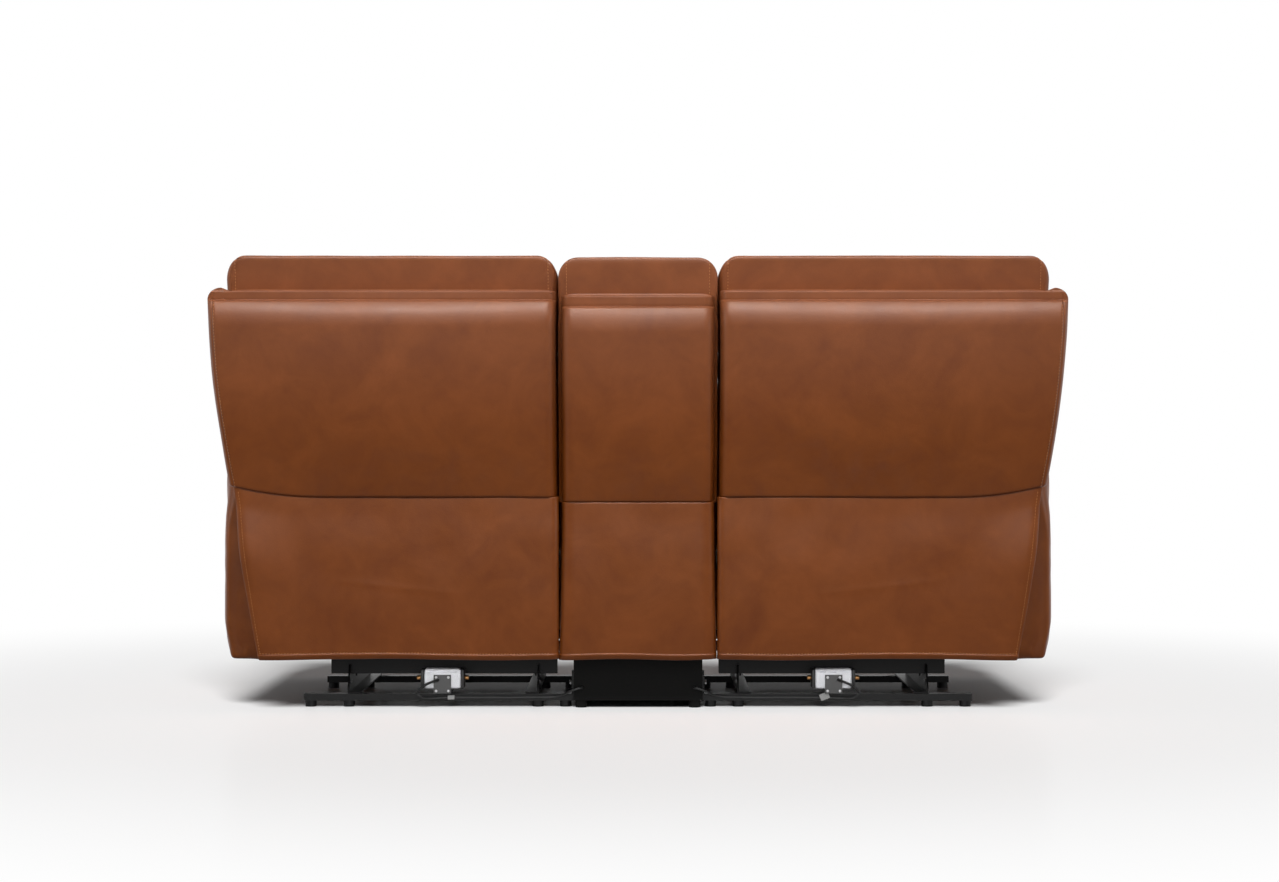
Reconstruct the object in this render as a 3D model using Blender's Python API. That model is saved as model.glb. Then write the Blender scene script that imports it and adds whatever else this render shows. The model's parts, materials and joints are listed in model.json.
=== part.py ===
"""Reclining loveseat with a storage console between two power seats.

Metres, +Z up. The sofa faces -Y and stands on the XY plane, centred on the origin.
The sitter's left is +X. Everything is drawn upright and closed, with each moving
piece hung on an empty that sits on its joint's axis.
"""

import math

import bmesh
import bpy
from mathutils import Matrix, Vector

# Widths across the sofa, from the middle of the console outwards
CONSOLE_WIDTH = 0.360
SEAT_WIDTH = 0.600
ARM_WIDTH = 0.182
SIDE_GAP = 0.006
BACK_GAP = 0.012
WING_FLARE = 0.013
WING_TUCK = 0.0295

# Depths and heights of the upholstery
DEPTH = 1.000
ARM_FRONT_SETBACK = 0.025
ARM_LENGTH = 0.775
ARM_BOTTOM = 0.1115
ARM_HEIGHT = 0.510
SEAT_DEPTH = 0.555
SEAT_TOP = 0.490
SEAT_NOSE = 0.048
SEAT_SETBACK = 0.013
SEAT_CROWN = 0.016

# The back: raked rear plane, padded panel, frame, cushions
RAKE = math.radians(11.5)
BACK_FOOT_Y = 0.408
SEAM_HEIGHT = 0.498
SEAM_RISE = 0.028
SEAM_CURVE = 0.215
BACK_TOP = 0.973
PANEL_THICK = 0.046
PANEL_CROWN = 0.016
WING_RADIUS = 0.024
WING_LEG = 0.048
WING_REACH = 0.078
WING_RISE = 0.010
CORNER_FROM = 0.80
CORNER_TO = 0.94
WING_TURN = math.radians(88)
FRAME_GAP = 0.004
FRAME_DEPTH = 0.025
BACK_CUSHION_DEPTH = 0.235
BACK_CUSHION_BOTTOM = 0.400
BACK_CUSHION_TOP = 0.800
SHOULDER_CLEAR = 0.050
HEADREST_GAP = 0.006
HEADREST_TOP = 1.058
HEADREST_DEPTH = 0.150
WING_THICK = 0.036

# The leather skirt that closes the gap below each back
SKIRT_THICK = 0.012
SKIRT_BOTTOM = 0.122
SKIRT_TUCK_TOP = 0.038
SKIRT_TUCK_BOTTOM = 0.087
SKIRT_RADIUS = 0.050
SKIRT_TURN = math.radians(62)
SKIRT_OUT = 0.006

# Console
CONSOLE_TOP = 0.600
CONSOLE_REAR = 0.325
CONSOLE_BACK_WIDTH = 0.354
CONSOLE_BACK_TOP = 0.966
CONSOLE_SEAM = 0.485
CONSOLE_HEADREST_TOP = 1.052
CONSOLE_BASE_WIDTH = 0.304
CONSOLE_BASE_REAR = 0.290
CONSOLE_BASE_FRONT = -0.400
CONSOLE_SETBACK = 0.005
CONSOLE_LIFT = 0.006
CONSOLE_CROWN = 0.012
STORAGE_WIDTH = 0.250
STORAGE_SETBACK = 0.330
STORAGE_LENGTH = 0.260
STORAGE_DEPTH = 0.270
LID_THICK = 0.046
LID_OVERHANG = 0.028
LID_HINGE_Y = 0.155
LID_GAP = 0.004
LID_CROWN = 0.008
CUP_RADIUS = 0.0400
CUP_WALL = 0.0020
CUP_DEPTH = 0.075
CUP_RIM = 0.0080
CUP_SETBACK = 0.165
CUP_SPACING = 0.170

# Floor frame of each seat
GLIDE_RADIUS = 0.0135
GLIDE_HEIGHT = 0.0145
RAIL_HEIGHT = 0.0165
RAIL_DEPTH = 0.030
REAR_RAIL_Y = 0.250
FRONT_RAIL_Y = -0.220
RAIL_END_INSET = 0.015
LUG_HEIGHT = 0.085
LUG_THICK = 0.004
BASE_GLIDE_INSET = 0.018
BASE_LIFT = 0.003

# Steel mechanism: side plates and links lie in layers across the seat
MECH_INSET = 0.024
MECH_HALF_SPAN = 0.2245
LAYER = 0.0085
STEEL = 0.004
FLANGE_WIDTH = 0.030
PLATE_TOP = 0.098
PLATE_END = 0.014
PLATE_PAST_FRONT = 0.100
PLATE_PAST_REAR = 0.080
EDGE = 0.017
SWEEP = 0.030
LINK_WIDTH = 0.022
PIN_RADIUS = 0.005
PIN_PROUD = 0.002
TUBE_RADIUS = 0.0085
CROSS_TUBE_RADIUS = 0.0125
CROSS_TUBE_Z = 0.088
REAR_TUBE_Y = 0.214
FRONT_TUBE_Y = -0.160
BEAM_TOP = 0.118
BEAM_PAST = 0.045
BRACKET_SIZE = 0.024
BRACKET_Z = 0.1415
HANGER_SIZE = 0.022
SWING_LENGTH = 0.120
SWING_LEAN = math.radians(12)
SWING_PIVOT_Z = 0.075
SWING_FRONT_Y = -0.100
SWING_REAR_Y = 0.160

# Seat carriage
DECK_TOP = 0.340
DECK_THICK = 0.020
DECK_REAR = 0.160
DECK_INSET = 0.004
DECK_NOSE_GAP = 0.012
DECK_TUBE_DROP = 0.055
DECK_TUBE_FRONT = 0.100
DECK_TUBE_REAR = 0.030
BACK_PIVOT = (0.300, 0.335)

# Back frame and the bracket behind the headrest
BACK_KNEE_Z = 0.440
BACK_RAIL_LOW = 0.470
BACK_RAIL_HIGH = 0.755
BACK_RAIL_WIDTH = 0.040
BACK_RAIL_INSET = 0.003
HINGE_EAR = 0.020
HEAD_ARM_WIDTH = 0.018
HEAD_PLATE_LOW = 0.020
HEAD_PLATE_TOP = 0.055
HEAD_PLATE_THICK = 0.012
HEAD_SLOT_GAP = 0.0035
HEAD_SLOT_EDGE = 0.014

# Footrest linkage: setbacks from the front of the sofa, and heights
LEG_SETBACK = 0.200
LEG_HEIGHT = 0.305
LEG_LINK = 0.255
FOOT_SETBACK = 0.075
FOOT_HEIGHT = 0.285
FOOT_EAR = 0.011
FOOT_EAR_ROOT = 0.035
BOARD_INSET = 0.010
BOARD_THICK = 0.012
BOARD_BOTTOM = 0.135
BOARD_TOP = 0.365
PAD_BOTTOM = 0.115
PAD_TOP = 0.385
PAD_DEPTH = 0.043
PAD_INSET = 0.004
PAD_CROWN = 0.010
PAD_NOSE_GAP = 0.012

# Power drive
MOTOR_LENGTH = 0.103
MOTOR_DEPTH = 0.048
MOTOR_HEIGHT = 0.046
MOTOR_Y = 0.264
MOTOR_Z = 0.068
MOTOR_ROUND = 0.006
GEAR_WIDTH = 0.041
GEAR_PLATE = 0.004
GEAR_TOP = 0.078
GEAR_BOTTOM = 0.034
GEAR_TUBE_GAP = 0.003
DRIVE_WIDTH = 0.020
DRIVE_HEIGHT = 0.020
DRIVE_Z = 0.054
DRIVE_FRONT = -0.220
DRIVE_REAR = 0.190
SLIDER_LENGTH = 0.050
SLIDER_Y = 0.140
SLIDER_WALL = 0.010
SLIDER_POST = 0.016
DRIVE_TUBE_Z = 0.105
DRIVE_TUBE_HALF = 0.165
LEAD_RADIUS = 0.003

# Seat controls on the arms
CONTROL_LENGTH = 0.090
CONTROL_HEIGHT = 0.040
CONTROL_THICK = 0.006
CONTROL_SETBACK = 0.325
CONTROL_DROP = 0.0865
BUTTON_SIZE = 0.024
BUTTON_PITCH = 0.040
BUTTON_PROUD = 0.003
BUTTON_GAP = 0.0005
BUTTON_ROUND = 0.0012

# Clearances
FIT = 0.0003
TOUCH = 0.0004
ROUND = 12

SIDES = {"left": 1, "right": -1}

# Places that follow from the sizes above
FRONT_Y = -DEPTH / 2
CONSOLE_SIDE = CONSOLE_WIDTH / 2
SEAT_IN = CONSOLE_SIDE + SIDE_GAP
SEAT_OUT = SEAT_IN + SEAT_WIDTH
SEAT_MIDDLE = (SEAT_IN + SEAT_OUT) / 2
ARM_IN = SEAT_OUT + SIDE_GAP
ARM_OUT = ARM_IN + ARM_WIDTH
ARM_FRONT = FRONT_Y + ARM_FRONT_SETBACK
ARM_REAR = ARM_FRONT + ARM_LENGTH
ARM_TOP = ARM_BOTTOM + ARM_HEIGHT
BACK_IN = CONSOLE_BACK_WIDTH / 2 + BACK_GAP
MECH_X = SEAT_MIDDLE - MECH_INSET
RAIL_TOP = GLIDE_HEIGHT + RAIL_HEIGHT
RAIL_IN = CONSOLE_BASE_WIDTH / 2 + LUG_THICK + 2 * TOUCH
RAIL_OUT = ARM_IN
CONSOLE_FRONT = ARM_FRONT + CONSOLE_SETBACK
STORAGE_FRONT = CONSOLE_FRONT + STORAGE_SETBACK
CUP_Y = CONSOLE_FRONT + CUP_SETBACK
CONSOLE_BOTTOM = ARM_BOTTOM + CONSOLE_LIFT
LID_BOTTOM = CONSOLE_TOP + LID_GAP
CONTROL_Y = ARM_FRONT + CONTROL_SETBACK
CONTROL_Z = ARM_TOP - CONTROL_DROP
LEG_PIVOT = (DEPTH / 2 - LEG_SETBACK, LEG_HEIGHT)
FOOT_PIVOT = (DEPTH / 2 - FOOT_SETBACK, FOOT_HEIGHT)
FRAME_SETBACK = PANEL_THICK + FRAME_GAP
CUSHION_SETBACK = FRAME_SETBACK + FRAME_DEPTH + FRAME_GAP
SHOULDER = ARM_TOP + SHOULDER_CLEAR
HEADREST_BOTTOM = BACK_CUSHION_TOP + HEADREST_GAP
HOLE_RADIUS = PIN_RADIUS + FIT


def layer(number):
    """Distance from the middle of the mechanism to a layer of steel; 0 is the outermost plate."""
    return MECH_HALF_SPAN - number * LAYER


def rear_plane(z):
    """The raked plane that the back is set out from, before its crown."""
    return BACK_FOOT_Y + (z - SEAM_HEIGHT) * math.tan(RAKE)


def frame_line(z):
    """Middle of the back frame's depth at a height."""
    return rear_plane(z) - FRAME_SETBACK - FRAME_DEPTH / 2


def smooth(value):
    """0 to 1 with a soft start and end."""
    value = min(1.0, max(0.0, value))
    return value * value * (3 - 2 * value)


def mix(start, end, share):
    return start + (end - start) * share


# Materials

def finish(name, colour, roughness, metallic=0.0):
    made = bpy.data.materials.new(name)
    made.use_nodes = True
    shader = made.node_tree.nodes["Principled BSDF"]
    shader.inputs["Base Color"].default_value = (*colour, 1.0)
    shader.inputs["Roughness"].default_value = roughness
    shader.inputs["Metallic"].default_value = metallic
    return made


def make_finishes():
    return {
        "leather": finish("tan_leather", (0.171, 0.058, 0.024), 0.45),
        "steel": finish("black_coated_steel", (0.012, 0.012, 0.012), 0.45, 0.6),
        "plastic": finish("black_plastic", (0.014, 0.014, 0.015), 0.55),
        "motor": finish("grey_motor_housing", (0.48, 0.49, 0.52), 0.45),
        "wood": finish("plywood", (0.46, 0.30, 0.16), 0.7),
        "plinth": finish("black_painted_plywood", (0.007, 0.007, 0.006), 0.8),
        "bright": finish("brushed_steel", (0.60, 0.60, 0.61), 0.3, 1.0),
        "cable": finish("cable_sheath", (0.010, 0.010, 0.010), 0.5),
    }


# Modelling helpers

def clear_scene():
    for obj in list(bpy.data.objects):
        bpy.data.objects.remove(obj)


def make_object(name, shape, material, helper=False):
    mesh = bpy.data.meshes.new(name)
    shape.to_mesh(mesh)
    shape.free()
    obj = bpy.data.objects.new(name, mesh)
    bpy.context.scene.collection.objects.link(obj)
    if helper:
        obj.hide_render = True
        obj.display_type = "WIRE"
    else:
        mesh.materials.append(material)
    return obj


def block(low, high):
    """A box between two corners."""
    shape = bmesh.new()
    low, high = Vector(low), Vector(high)
    bmesh.ops.create_cube(shape, size=1.0)
    bmesh.ops.scale(shape, vec=high - low, verts=shape.verts)
    bmesh.ops.translate(shape, vec=(low + high) / 2, verts=shape.verts)
    return shape


def rod(start, end, radius, sides=ROUND):
    """A round bar between two points."""
    start, end = Vector(start), Vector(end)
    shape = bmesh.new()
    bmesh.ops.create_cone(
        shape, cap_ends=True, segments=sides, radius1=radius, radius2=radius,
        depth=(end - start).length,
    )
    turn = Vector((0, 0, 1)).rotation_difference(end - start)
    bmesh.ops.rotate(shape, cent=(0, 0, 0), matrix=turn.to_matrix(), verts=shape.verts)
    bmesh.ops.translate(shape, vec=(start + end) / 2, verts=shape.verts)
    return shape


def plate(outline, low_x, high_x):
    """A plate lying in the YZ plane: an outline of (y, z) points drawn out along X."""
    shape = bmesh.new()
    corners = [shape.verts.new((low_x, y, z)) for y, z in outline]
    face = shape.faces.new(corners)
    drawn = bmesh.ops.extrude_face_region(shape, geom=[face])["geom"]
    moved = [v for v in drawn if isinstance(v, bmesh.types.BMVert)]
    bmesh.ops.translate(shape, vec=(high_x - low_x, 0, 0), verts=moved)
    bmesh.ops.recalc_face_normals(shape, faces=shape.faces)
    return shape


def bar_outline(start, end, width, steps=6):
    """A link seen from the side: two round ends joined by straight edges, as (y, z) points."""
    heading = math.atan2(end[1] - start[1], end[0] - start[0])
    points = []
    for centre, first in ((end, heading - math.pi / 2), (start, heading + math.pi / 2)):
        for step in range(steps + 1):
            angle = first + math.pi * step / steps
            points.append((
                centre[0] + width / 2 * math.cos(angle),
                centre[1] + width / 2 * math.sin(angle),
            ))
    return points


def merge(obj, shapes, operation="UNION"):
    """Joins shapes to an object, or cuts them from it, and keeps the tools as hidden helpers."""
    for number, shape in enumerate(shapes):
        tool = make_object(f"{obj.name}.{operation.lower()}{number}", shape, None, helper=True)
        step = obj.modifiers.new(tool.name, "BOOLEAN")
        step.operation = operation
        step.object = tool
        step.solver = "EXACT"
    return obj


def soften(obj, angle=40):
    obj.data.shade_smooth()
    obj.data.set_sharp_from_angle(angle=math.radians(angle))
    return obj


def padded(name, cells, shape_point, material, side=1):
    """A stuffed form: a cube cut into cells, with points placed by shape_point(a, b, c), -1 to 1 each."""
    shape = bmesh.new()
    bmesh.ops.create_cube(shape, size=2.0)
    for axis, count in enumerate(cells):
        along = [
            e for e in shape.edges
            if abs(e.verts[0].co[axis] - e.verts[1].co[axis]) > 1.0
        ]
        bmesh.ops.subdivide_edges(shape, edges=along, cuts=count - 1, use_grid_fill=True)
    for vert in shape.verts:
        x, y, z = shape_point(*vert.co)
        vert.co = (x * side, y, z)
    if side < 0:
        bmesh.ops.reverse_faces(shape, faces=shape.faces)
    return soften(make_object(name, shape, material), 60)


def crowd(value):
    """Moves a point of an even row from -1 to 1 towards its end, where the form turns."""
    return math.copysign(1 - (1 - abs(value)) ** 1.5, value)


def round_off(a, b, c, power):
    """Rounds a cube's edges and corners; points are crowded towards the edges first."""
    a, b, c = crowd(a), crowd(b), crowd(c)
    pull = (abs(a) ** power + abs(b) ** power + abs(c) ** power) ** (-1 / power)
    return a * pull, b * pull, c * pull


def round_panel(a, b, c, power):
    """Rounds a panel's two upper corners, keeps its lower ones square and thins it towards its edges."""
    a, c = crowd(a), crowd(c)
    size = max(abs(a), abs(c))
    pull = 1.0
    if c > 0:
        pull = size / (abs(a) ** power + c ** power) ** (1 / power)
    return a * pull, b * (1 - 0.6 * size ** 10), c * pull


def hang(obj, empty):
    """Gives an object its joint's empty as parent, with its origin on the joint."""
    bpy.context.view_layer.update()
    obj.data.transform(Matrix.Translation(-empty.matrix_world.translation))
    obj.parent = empty
    return obj


def joint_empty(name, point, parent=None):
    empty = bpy.data.objects.new(name, None)
    empty.empty_display_size = 0.03
    bpy.context.scene.collection.objects.link(empty)
    empty.location = Vector(point)
    if parent:
        bpy.context.view_layer.update()
        empty.location = Vector(point) - parent.matrix_world.translation
        empty.parent = parent
    return empty


def across(side, low, high):
    """Two X values on one side of the sofa, in rising order."""
    return tuple(sorted((side * low, side * high)))


def pair_of_plates(outline, number, thick=STEEL):
    """The same plate on the two sides of a mechanism, centred on a layer, relative to its middle."""
    return [
        plate(outline, end * layer(number) - thick / 2, end * layer(number) + thick / 2)
        for end in (-1, 1)
    ]


def pair_of_pins(point, first, last):
    """A pin on each side, from inside one layer's steel to just past another's, at a (y, z) point."""
    proud = math.copysign(STEEL / 2 + PIN_PROUD, layer(last) - layer(first))
    pins = []
    for end in (-1, 1):
        start = (end * layer(first), *point)
        stop = (end * (layer(last) + proud), *point)
        pins.append(rod(start, stop, PIN_RADIUS))
    return pins


def pair_of_holes(points, number):
    """Cutters for pin holes through one layer on both sides."""
    holes = []
    for point in points:
        for end in (-1, 1):
            middle = end * layer(number)
            holes.append(rod(
                (middle - STEEL, *point), (middle + STEEL, *point), HOLE_RADIUS))
    return holes


def shifted(shapes, x):
    for shape in shapes:
        bmesh.ops.translate(shape, vec=(x, 0, 0), verts=shape.verts)
    return shapes


def build_steel(name, shapes, cuts, material, side):
    """One welded piece: the shapes joined, then the cuts taken out, moved to its seat's mechanism."""
    shifted(shapes + cuts, side * MECH_X)
    obj = make_object(name, shapes[0], material)
    merge(obj, shapes[1:])
    merge(obj, cuts, "DIFFERENCE")
    return obj


# Floor frame

def make_foot_rail(name, y, side, material, with_lug):
    """A cross rail on plastic glides. The rear one has a lug that bolts to the console's base."""
    low, high = across(side, RAIL_IN, RAIL_OUT)
    half = RAIL_DEPTH / 2
    rail = make_object(
        name, block((low, y - half, GLIDE_HEIGHT), (high, y + half, RAIL_TOP)), material)
    parts = []
    for x in (
        RAIL_IN + RAIL_END_INSET,
        MECH_X - MECH_HALF_SPAN,
        MECH_X + MECH_HALF_SPAN,
        RAIL_OUT - RAIL_END_INSET,
    ):
        foot = (side * x, y, 0.0)
        top = (side * x, y, GLIDE_HEIGHT + RAIL_HEIGHT / 2)
        parts.append(rod(foot, top, GLIDE_RADIUS, 16))
    if with_lug:
        lug_low, lug_high = across(side, RAIL_IN - LUG_THICK, RAIL_IN + TOUCH)
        parts.append(block((lug_low, y - half, GLIDE_HEIGHT), (lug_high, y + half, LUG_HEIGHT)))
    return merge(rail, parts)


def make_base_frame(name, side, material):
    """Side plates with floor flanges, a rear beam, a front tube, and brackets for arm, console and drive."""
    low_y, high_y = FRONT_RAIL_Y - RAIL_DEPTH / 2, REAR_RAIL_Y + RAIL_DEPTH / 2
    seat_z = RAIL_TOP + TOUCH
    outline = [
        (low_y, seat_z), (high_y, seat_z), (high_y, seat_z + PLATE_END),
        (SWING_REAR_Y + PLATE_PAST_REAR, PLATE_TOP), (SWING_FRONT_Y - PLATE_PAST_FRONT, PLATE_TOP),
        (low_y, seat_z + PLATE_END),
    ]
    shapes = pair_of_plates(outline, 0)
    for end in (-1, 1):
        outer, inner = end * (layer(0) + STEEL / 2 - TOUCH), end * (layer(0) - FLANGE_WIDTH)
        low, high = sorted((outer, inner))
        shapes.append(block(
            (low, low_y + TOUCH, seat_z + TOUCH), (high, high_y - TOUCH, seat_z + STEEL)))
    half, end = CROSS_TUBE_RADIUS, layer(0) + BEAM_PAST
    shapes.append(block(
        (-end, REAR_TUBE_Y - half, CROSS_TUBE_Z - half), (end, REAR_TUBE_Y + half, BEAM_TOP)))
    shapes.append(rod(
        (-layer(0), FRONT_TUBE_Y, CROSS_TUBE_Z), (layer(0), FRONT_TUBE_Y, CROSS_TUBE_Z), half))
    for y in (REAR_TUBE_Y, FRONT_TUBE_Y):
        shapes.extend(side_brackets(y, side))
    drive_top = DRIVE_Z + DRIVE_HEIGHT / 2
    hanger = HANGER_SIZE / 2
    for y, z in ((REAR_TUBE_Y, gear_block_top()), (FRONT_TUBE_Y, drive_top)):
        shapes.append(block((-hanger, y - hanger, z + TOUCH), (hanger, y + hanger, CROSS_TUBE_Z)))
    cuts = pair_of_holes(
        [(SWING_FRONT_Y, SWING_PIVOT_Z), (SWING_REAR_Y, SWING_PIVOT_Z)], 0)
    return build_steel(name, shapes, cuts, material, side)


def side_brackets(y, side):
    """Uprights and arms that reach from one cross tube to the arm and to the console body."""
    half = BRACKET_SIZE / 2
    to_arm = ARM_IN - TOUCH - MECH_X
    to_console = CONSOLE_SIDE + TOUCH - MECH_X
    foot, low, high = CROSS_TUBE_Z - half / 2, BRACKET_Z - half, BRACKET_Z + half
    shapes = []
    for reach, end in ((to_arm, 1), (to_console, -1)):
        plate_x = end * (layer(0) - STEEL / 2 + TOUCH)
        post = sorted((side * plate_x, side * (plate_x + end * BRACKET_SIZE)))
        arm = sorted((side * plate_x, side * reach))
        shapes.append(block((post[0], y - half, foot), (post[1], y + half, high)))
        shapes.append(block(
            (arm[0], y - half + TOUCH, low), (arm[1], y + half - TOUCH, high - TOUCH)))
    return shapes


# Seat mechanism

def swing_top(y):
    """Upper pivot of a swing link whose lower pivot is at y."""
    reach, rise = SWING_LENGTH * math.sin(SWING_LEAN), SWING_LENGTH * math.cos(SWING_LEAN)
    return y + reach, SWING_PIVOT_Z + rise


def make_swing(name, y, side, material):
    """Two swing links and the tube between them; the seat rides forward on a front and a rear pair."""
    foot, top = (y, SWING_PIVOT_Z), swing_top(y)
    middle = (mix(foot[0], top[0], 0.6), mix(foot[1], top[1], 0.6))
    shapes = pair_of_plates(bar_outline(foot, top, LINK_WIDTH), 1)
    shapes.append(rod((-layer(1), *middle), (layer(1), *middle), TUBE_RADIUS))
    shapes.extend(pair_of_pins(foot, 1, 0) + pair_of_pins(top, 1, 2))
    return build_steel(name, shapes, [], material, side)


def make_seat_frame(name, side, material):
    """The carriage: two side plates, cross tubes and the deck that the cushion sits on."""
    front, rear = swing_top(SWING_FRONT_Y), swing_top(SWING_REAR_Y)
    leg = (-LEG_PIVOT[0], LEG_PIVOT[1])
    deck_low = DECK_TOP - DECK_THICK
    back = BACK_PIVOT
    outline = [
        (leg[0] - EDGE, deck_low + TOUCH), (leg[0] - EDGE, leg[1] - EDGE),
        (leg[0] + SWEEP, leg[1] - EDGE - SWEEP), (front[0] - SWEEP, front[1] - EDGE),
        (rear[0] + EDGE, rear[1] - EDGE), (back[0] + EDGE, back[1] - SWEEP),
        (back[0] + EDGE, back[1] + EDGE), (back[0] - EDGE, back[1] + EDGE),
        (back[0] - 2 * SWEEP, deck_low + TOUCH),
    ]
    shapes = pair_of_plates(outline, 2)
    deck = (SEAT_IN + DECK_INSET - MECH_X, SEAT_OUT - DECK_INSET - MECH_X)
    low, high = sorted((side * deck[0], side * deck[1]))
    deck_front = FRONT_Y + SEAT_SETBACK + SEAT_NOSE + DECK_NOSE_GAP
    shapes.insert(0, block((low, deck_front, deck_low), (high, DECK_REAR, DECK_TOP)))
    for y in (leg[0] + DECK_TUBE_FRONT, rear[0] - DECK_TUBE_REAR):
        z = deck_low - DECK_TUBE_DROP
        shapes.append(rod((-layer(2), y, z), (layer(2), y, z), TUBE_RADIUS))
    cuts = pair_of_holes([front, rear, leg, BACK_PIVOT], 2)
    return build_steel(name, shapes, cuts, material, side)


def knee_point():
    """Where the two footrest links meet when folded: the lower meeting point of two equal circles."""
    start, end = Vector(LEG_PIVOT), Vector(FOOT_PIVOT)
    reach = end - start
    drop = math.sqrt(LEG_LINK ** 2 - (reach.length / 2) ** 2)
    down = Vector((reach.y, -reach.x)).normalized()
    knee = (start + end) / 2 + down * drop
    return knee.x, knee.y


def make_rear_links(name, side, material):
    start, end = (-LEG_PIVOT[0], LEG_PIVOT[1]), (-knee_point()[0], knee_point()[1])
    middle = (mix(start[0], end[0], 0.42), mix(start[1], end[1], 0.42))
    shapes = pair_of_plates(bar_outline(start, end, LINK_WIDTH), 3)
    shapes.append(rod((-layer(3), *middle), (layer(3), *middle), TUBE_RADIUS))
    shapes.extend(pair_of_pins(start, 3, 2) + pair_of_pins(end, 3, 4))
    return build_steel(name, shapes, [], material, side)


def make_front_links(name, side, material):
    start, end = (-knee_point()[0], knee_point()[1]), (-FOOT_PIVOT[0], FOOT_PIVOT[1])
    middle = (mix(start[0], end[0], 0.5), mix(start[1], end[1], 0.5))
    shapes = pair_of_plates(bar_outline(start, end, LINK_WIDTH), 4)
    shapes.append(rod((-layer(4), *middle), (layer(4), *middle), TUBE_RADIUS))
    shapes.extend(pair_of_pins(end, 4, 5))
    return build_steel(name, shapes, pair_of_holes([start], 4), material, side)


def make_footrest_board(name, side, material):
    """Plywood panel behind the footrest pad, with two steel ears that hang on the front links."""
    rear = FRONT_Y + PAD_DEPTH + TOUCH + BOARD_THICK
    ends = (SEAT_IN + BOARD_INSET - MECH_X, SEAT_OUT - BOARD_INSET - MECH_X)
    low, high = sorted((side * ends[0], side * ends[1]))
    shapes = [block((low, rear - BOARD_THICK, BOARD_BOTTOM), (high, rear, BOARD_TOP))]
    y, z = -FOOT_PIVOT[0], FOOT_PIVOT[1]
    root, cut = rear - BOARD_THICK / 2, FOOT_EAR * math.tan(math.pi / 8)
    ear = [
        (root, z - FOOT_EAR_ROOT), (y + cut, z - FOOT_EAR), (y + FOOT_EAR, z - cut),
        (y + FOOT_EAR, z + cut), (y + cut, z + FOOT_EAR), (root, z + FOOT_EAR_ROOT),
    ]
    shapes.extend(pair_of_plates(ear, 5))
    return build_steel(name, shapes, pair_of_holes([(y, z)], 5), material, side)


# Power drive

def make_motor(name, side, material):
    x = side * MECH_X
    half = Vector((MOTOR_LENGTH, MOTOR_DEPTH, MOTOR_HEIGHT)) / 2
    middle = Vector((x, MOTOR_Y, MOTOR_Z))
    shape = block(middle - half, middle + half)
    bmesh.ops.bevel(
        shape, geom=shape.edges[:], offset=MOTOR_ROUND, segments=2, profile=0.5,
        affect="EDGES", material=-1)
    return soften(make_object(name, shape, material))


def gear_block_top():
    return CROSS_TUBE_Z - CROSS_TUBE_RADIUS - GEAR_TUBE_GAP


def make_gearbox(name, side, material):
    """Cradle under the motor: a rear cover plate, a tongue below and the gear block in front."""
    rear = MOTOR_Y + MOTOR_DEPTH / 2 + TOUCH
    front = MOTOR_Y - MOTOR_DEPTH / 2 - TOUCH
    tongue = MOTOR_Z - MOTOR_HEIGHT / 2 - TOUCH
    block_top = gear_block_top()
    outline = [
        (DRIVE_REAR + TOUCH, GEAR_BOTTOM), (rear + GEAR_PLATE, GEAR_BOTTOM),
        (rear + GEAR_PLATE, GEAR_TOP), (rear, GEAR_TOP), (rear, tongue), (front, tongue),
        (front, block_top), (DRIVE_REAR + TOUCH, block_top),
    ]
    low, high = -GEAR_WIDTH / 2, GEAR_WIDTH / 2
    return build_steel(name, [plate(outline, low, high)], [], material, side)


def make_drive_rail(name, side, material):
    low = (-DRIVE_WIDTH / 2, DRIVE_FRONT, DRIVE_Z - DRIVE_HEIGHT / 2)
    high = (DRIVE_WIDTH / 2, DRIVE_REAR, DRIVE_Z + DRIVE_HEIGHT / 2)
    return build_steel(name, [block(low, high)], [], material, side)


def make_slider(name, side, material):
    """Nut block that runs along the drive rail and carries the drive tube."""
    half_width = DRIVE_WIDTH / 2 + SLIDER_WALL
    half_height = DRIVE_HEIGHT / 2 + SLIDER_WALL
    low_y, high_y = SLIDER_Y - SLIDER_LENGTH / 2, SLIDER_Y + SLIDER_LENGTH / 2
    bore_x, bore_z = DRIVE_WIDTH / 2 + FIT, DRIVE_HEIGHT / 2 + FIT
    top, post = DRIVE_Z + half_height, SLIDER_POST / 2
    tube_end = (DRIVE_TUBE_HALF, SLIDER_Y, DRIVE_TUBE_Z)
    shapes = [
        block((-half_width, low_y, DRIVE_Z - half_height), (half_width, high_y, top)),
        block((-post, SLIDER_Y - post, top - SLIDER_WALL / 2), (post, SLIDER_Y + post, DRIVE_TUBE_Z)),
        rod((-tube_end[0], *tube_end[1:]), tube_end, TUBE_RADIUS),
    ]
    bore = block(
        (-bore_x, low_y - SLIDER_WALL, DRIVE_Z - bore_z), (bore_x, high_y + SLIDER_WALL, DRIVE_Z + bore_z))
    return build_steel(name, shapes, [bore], material, side)


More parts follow.
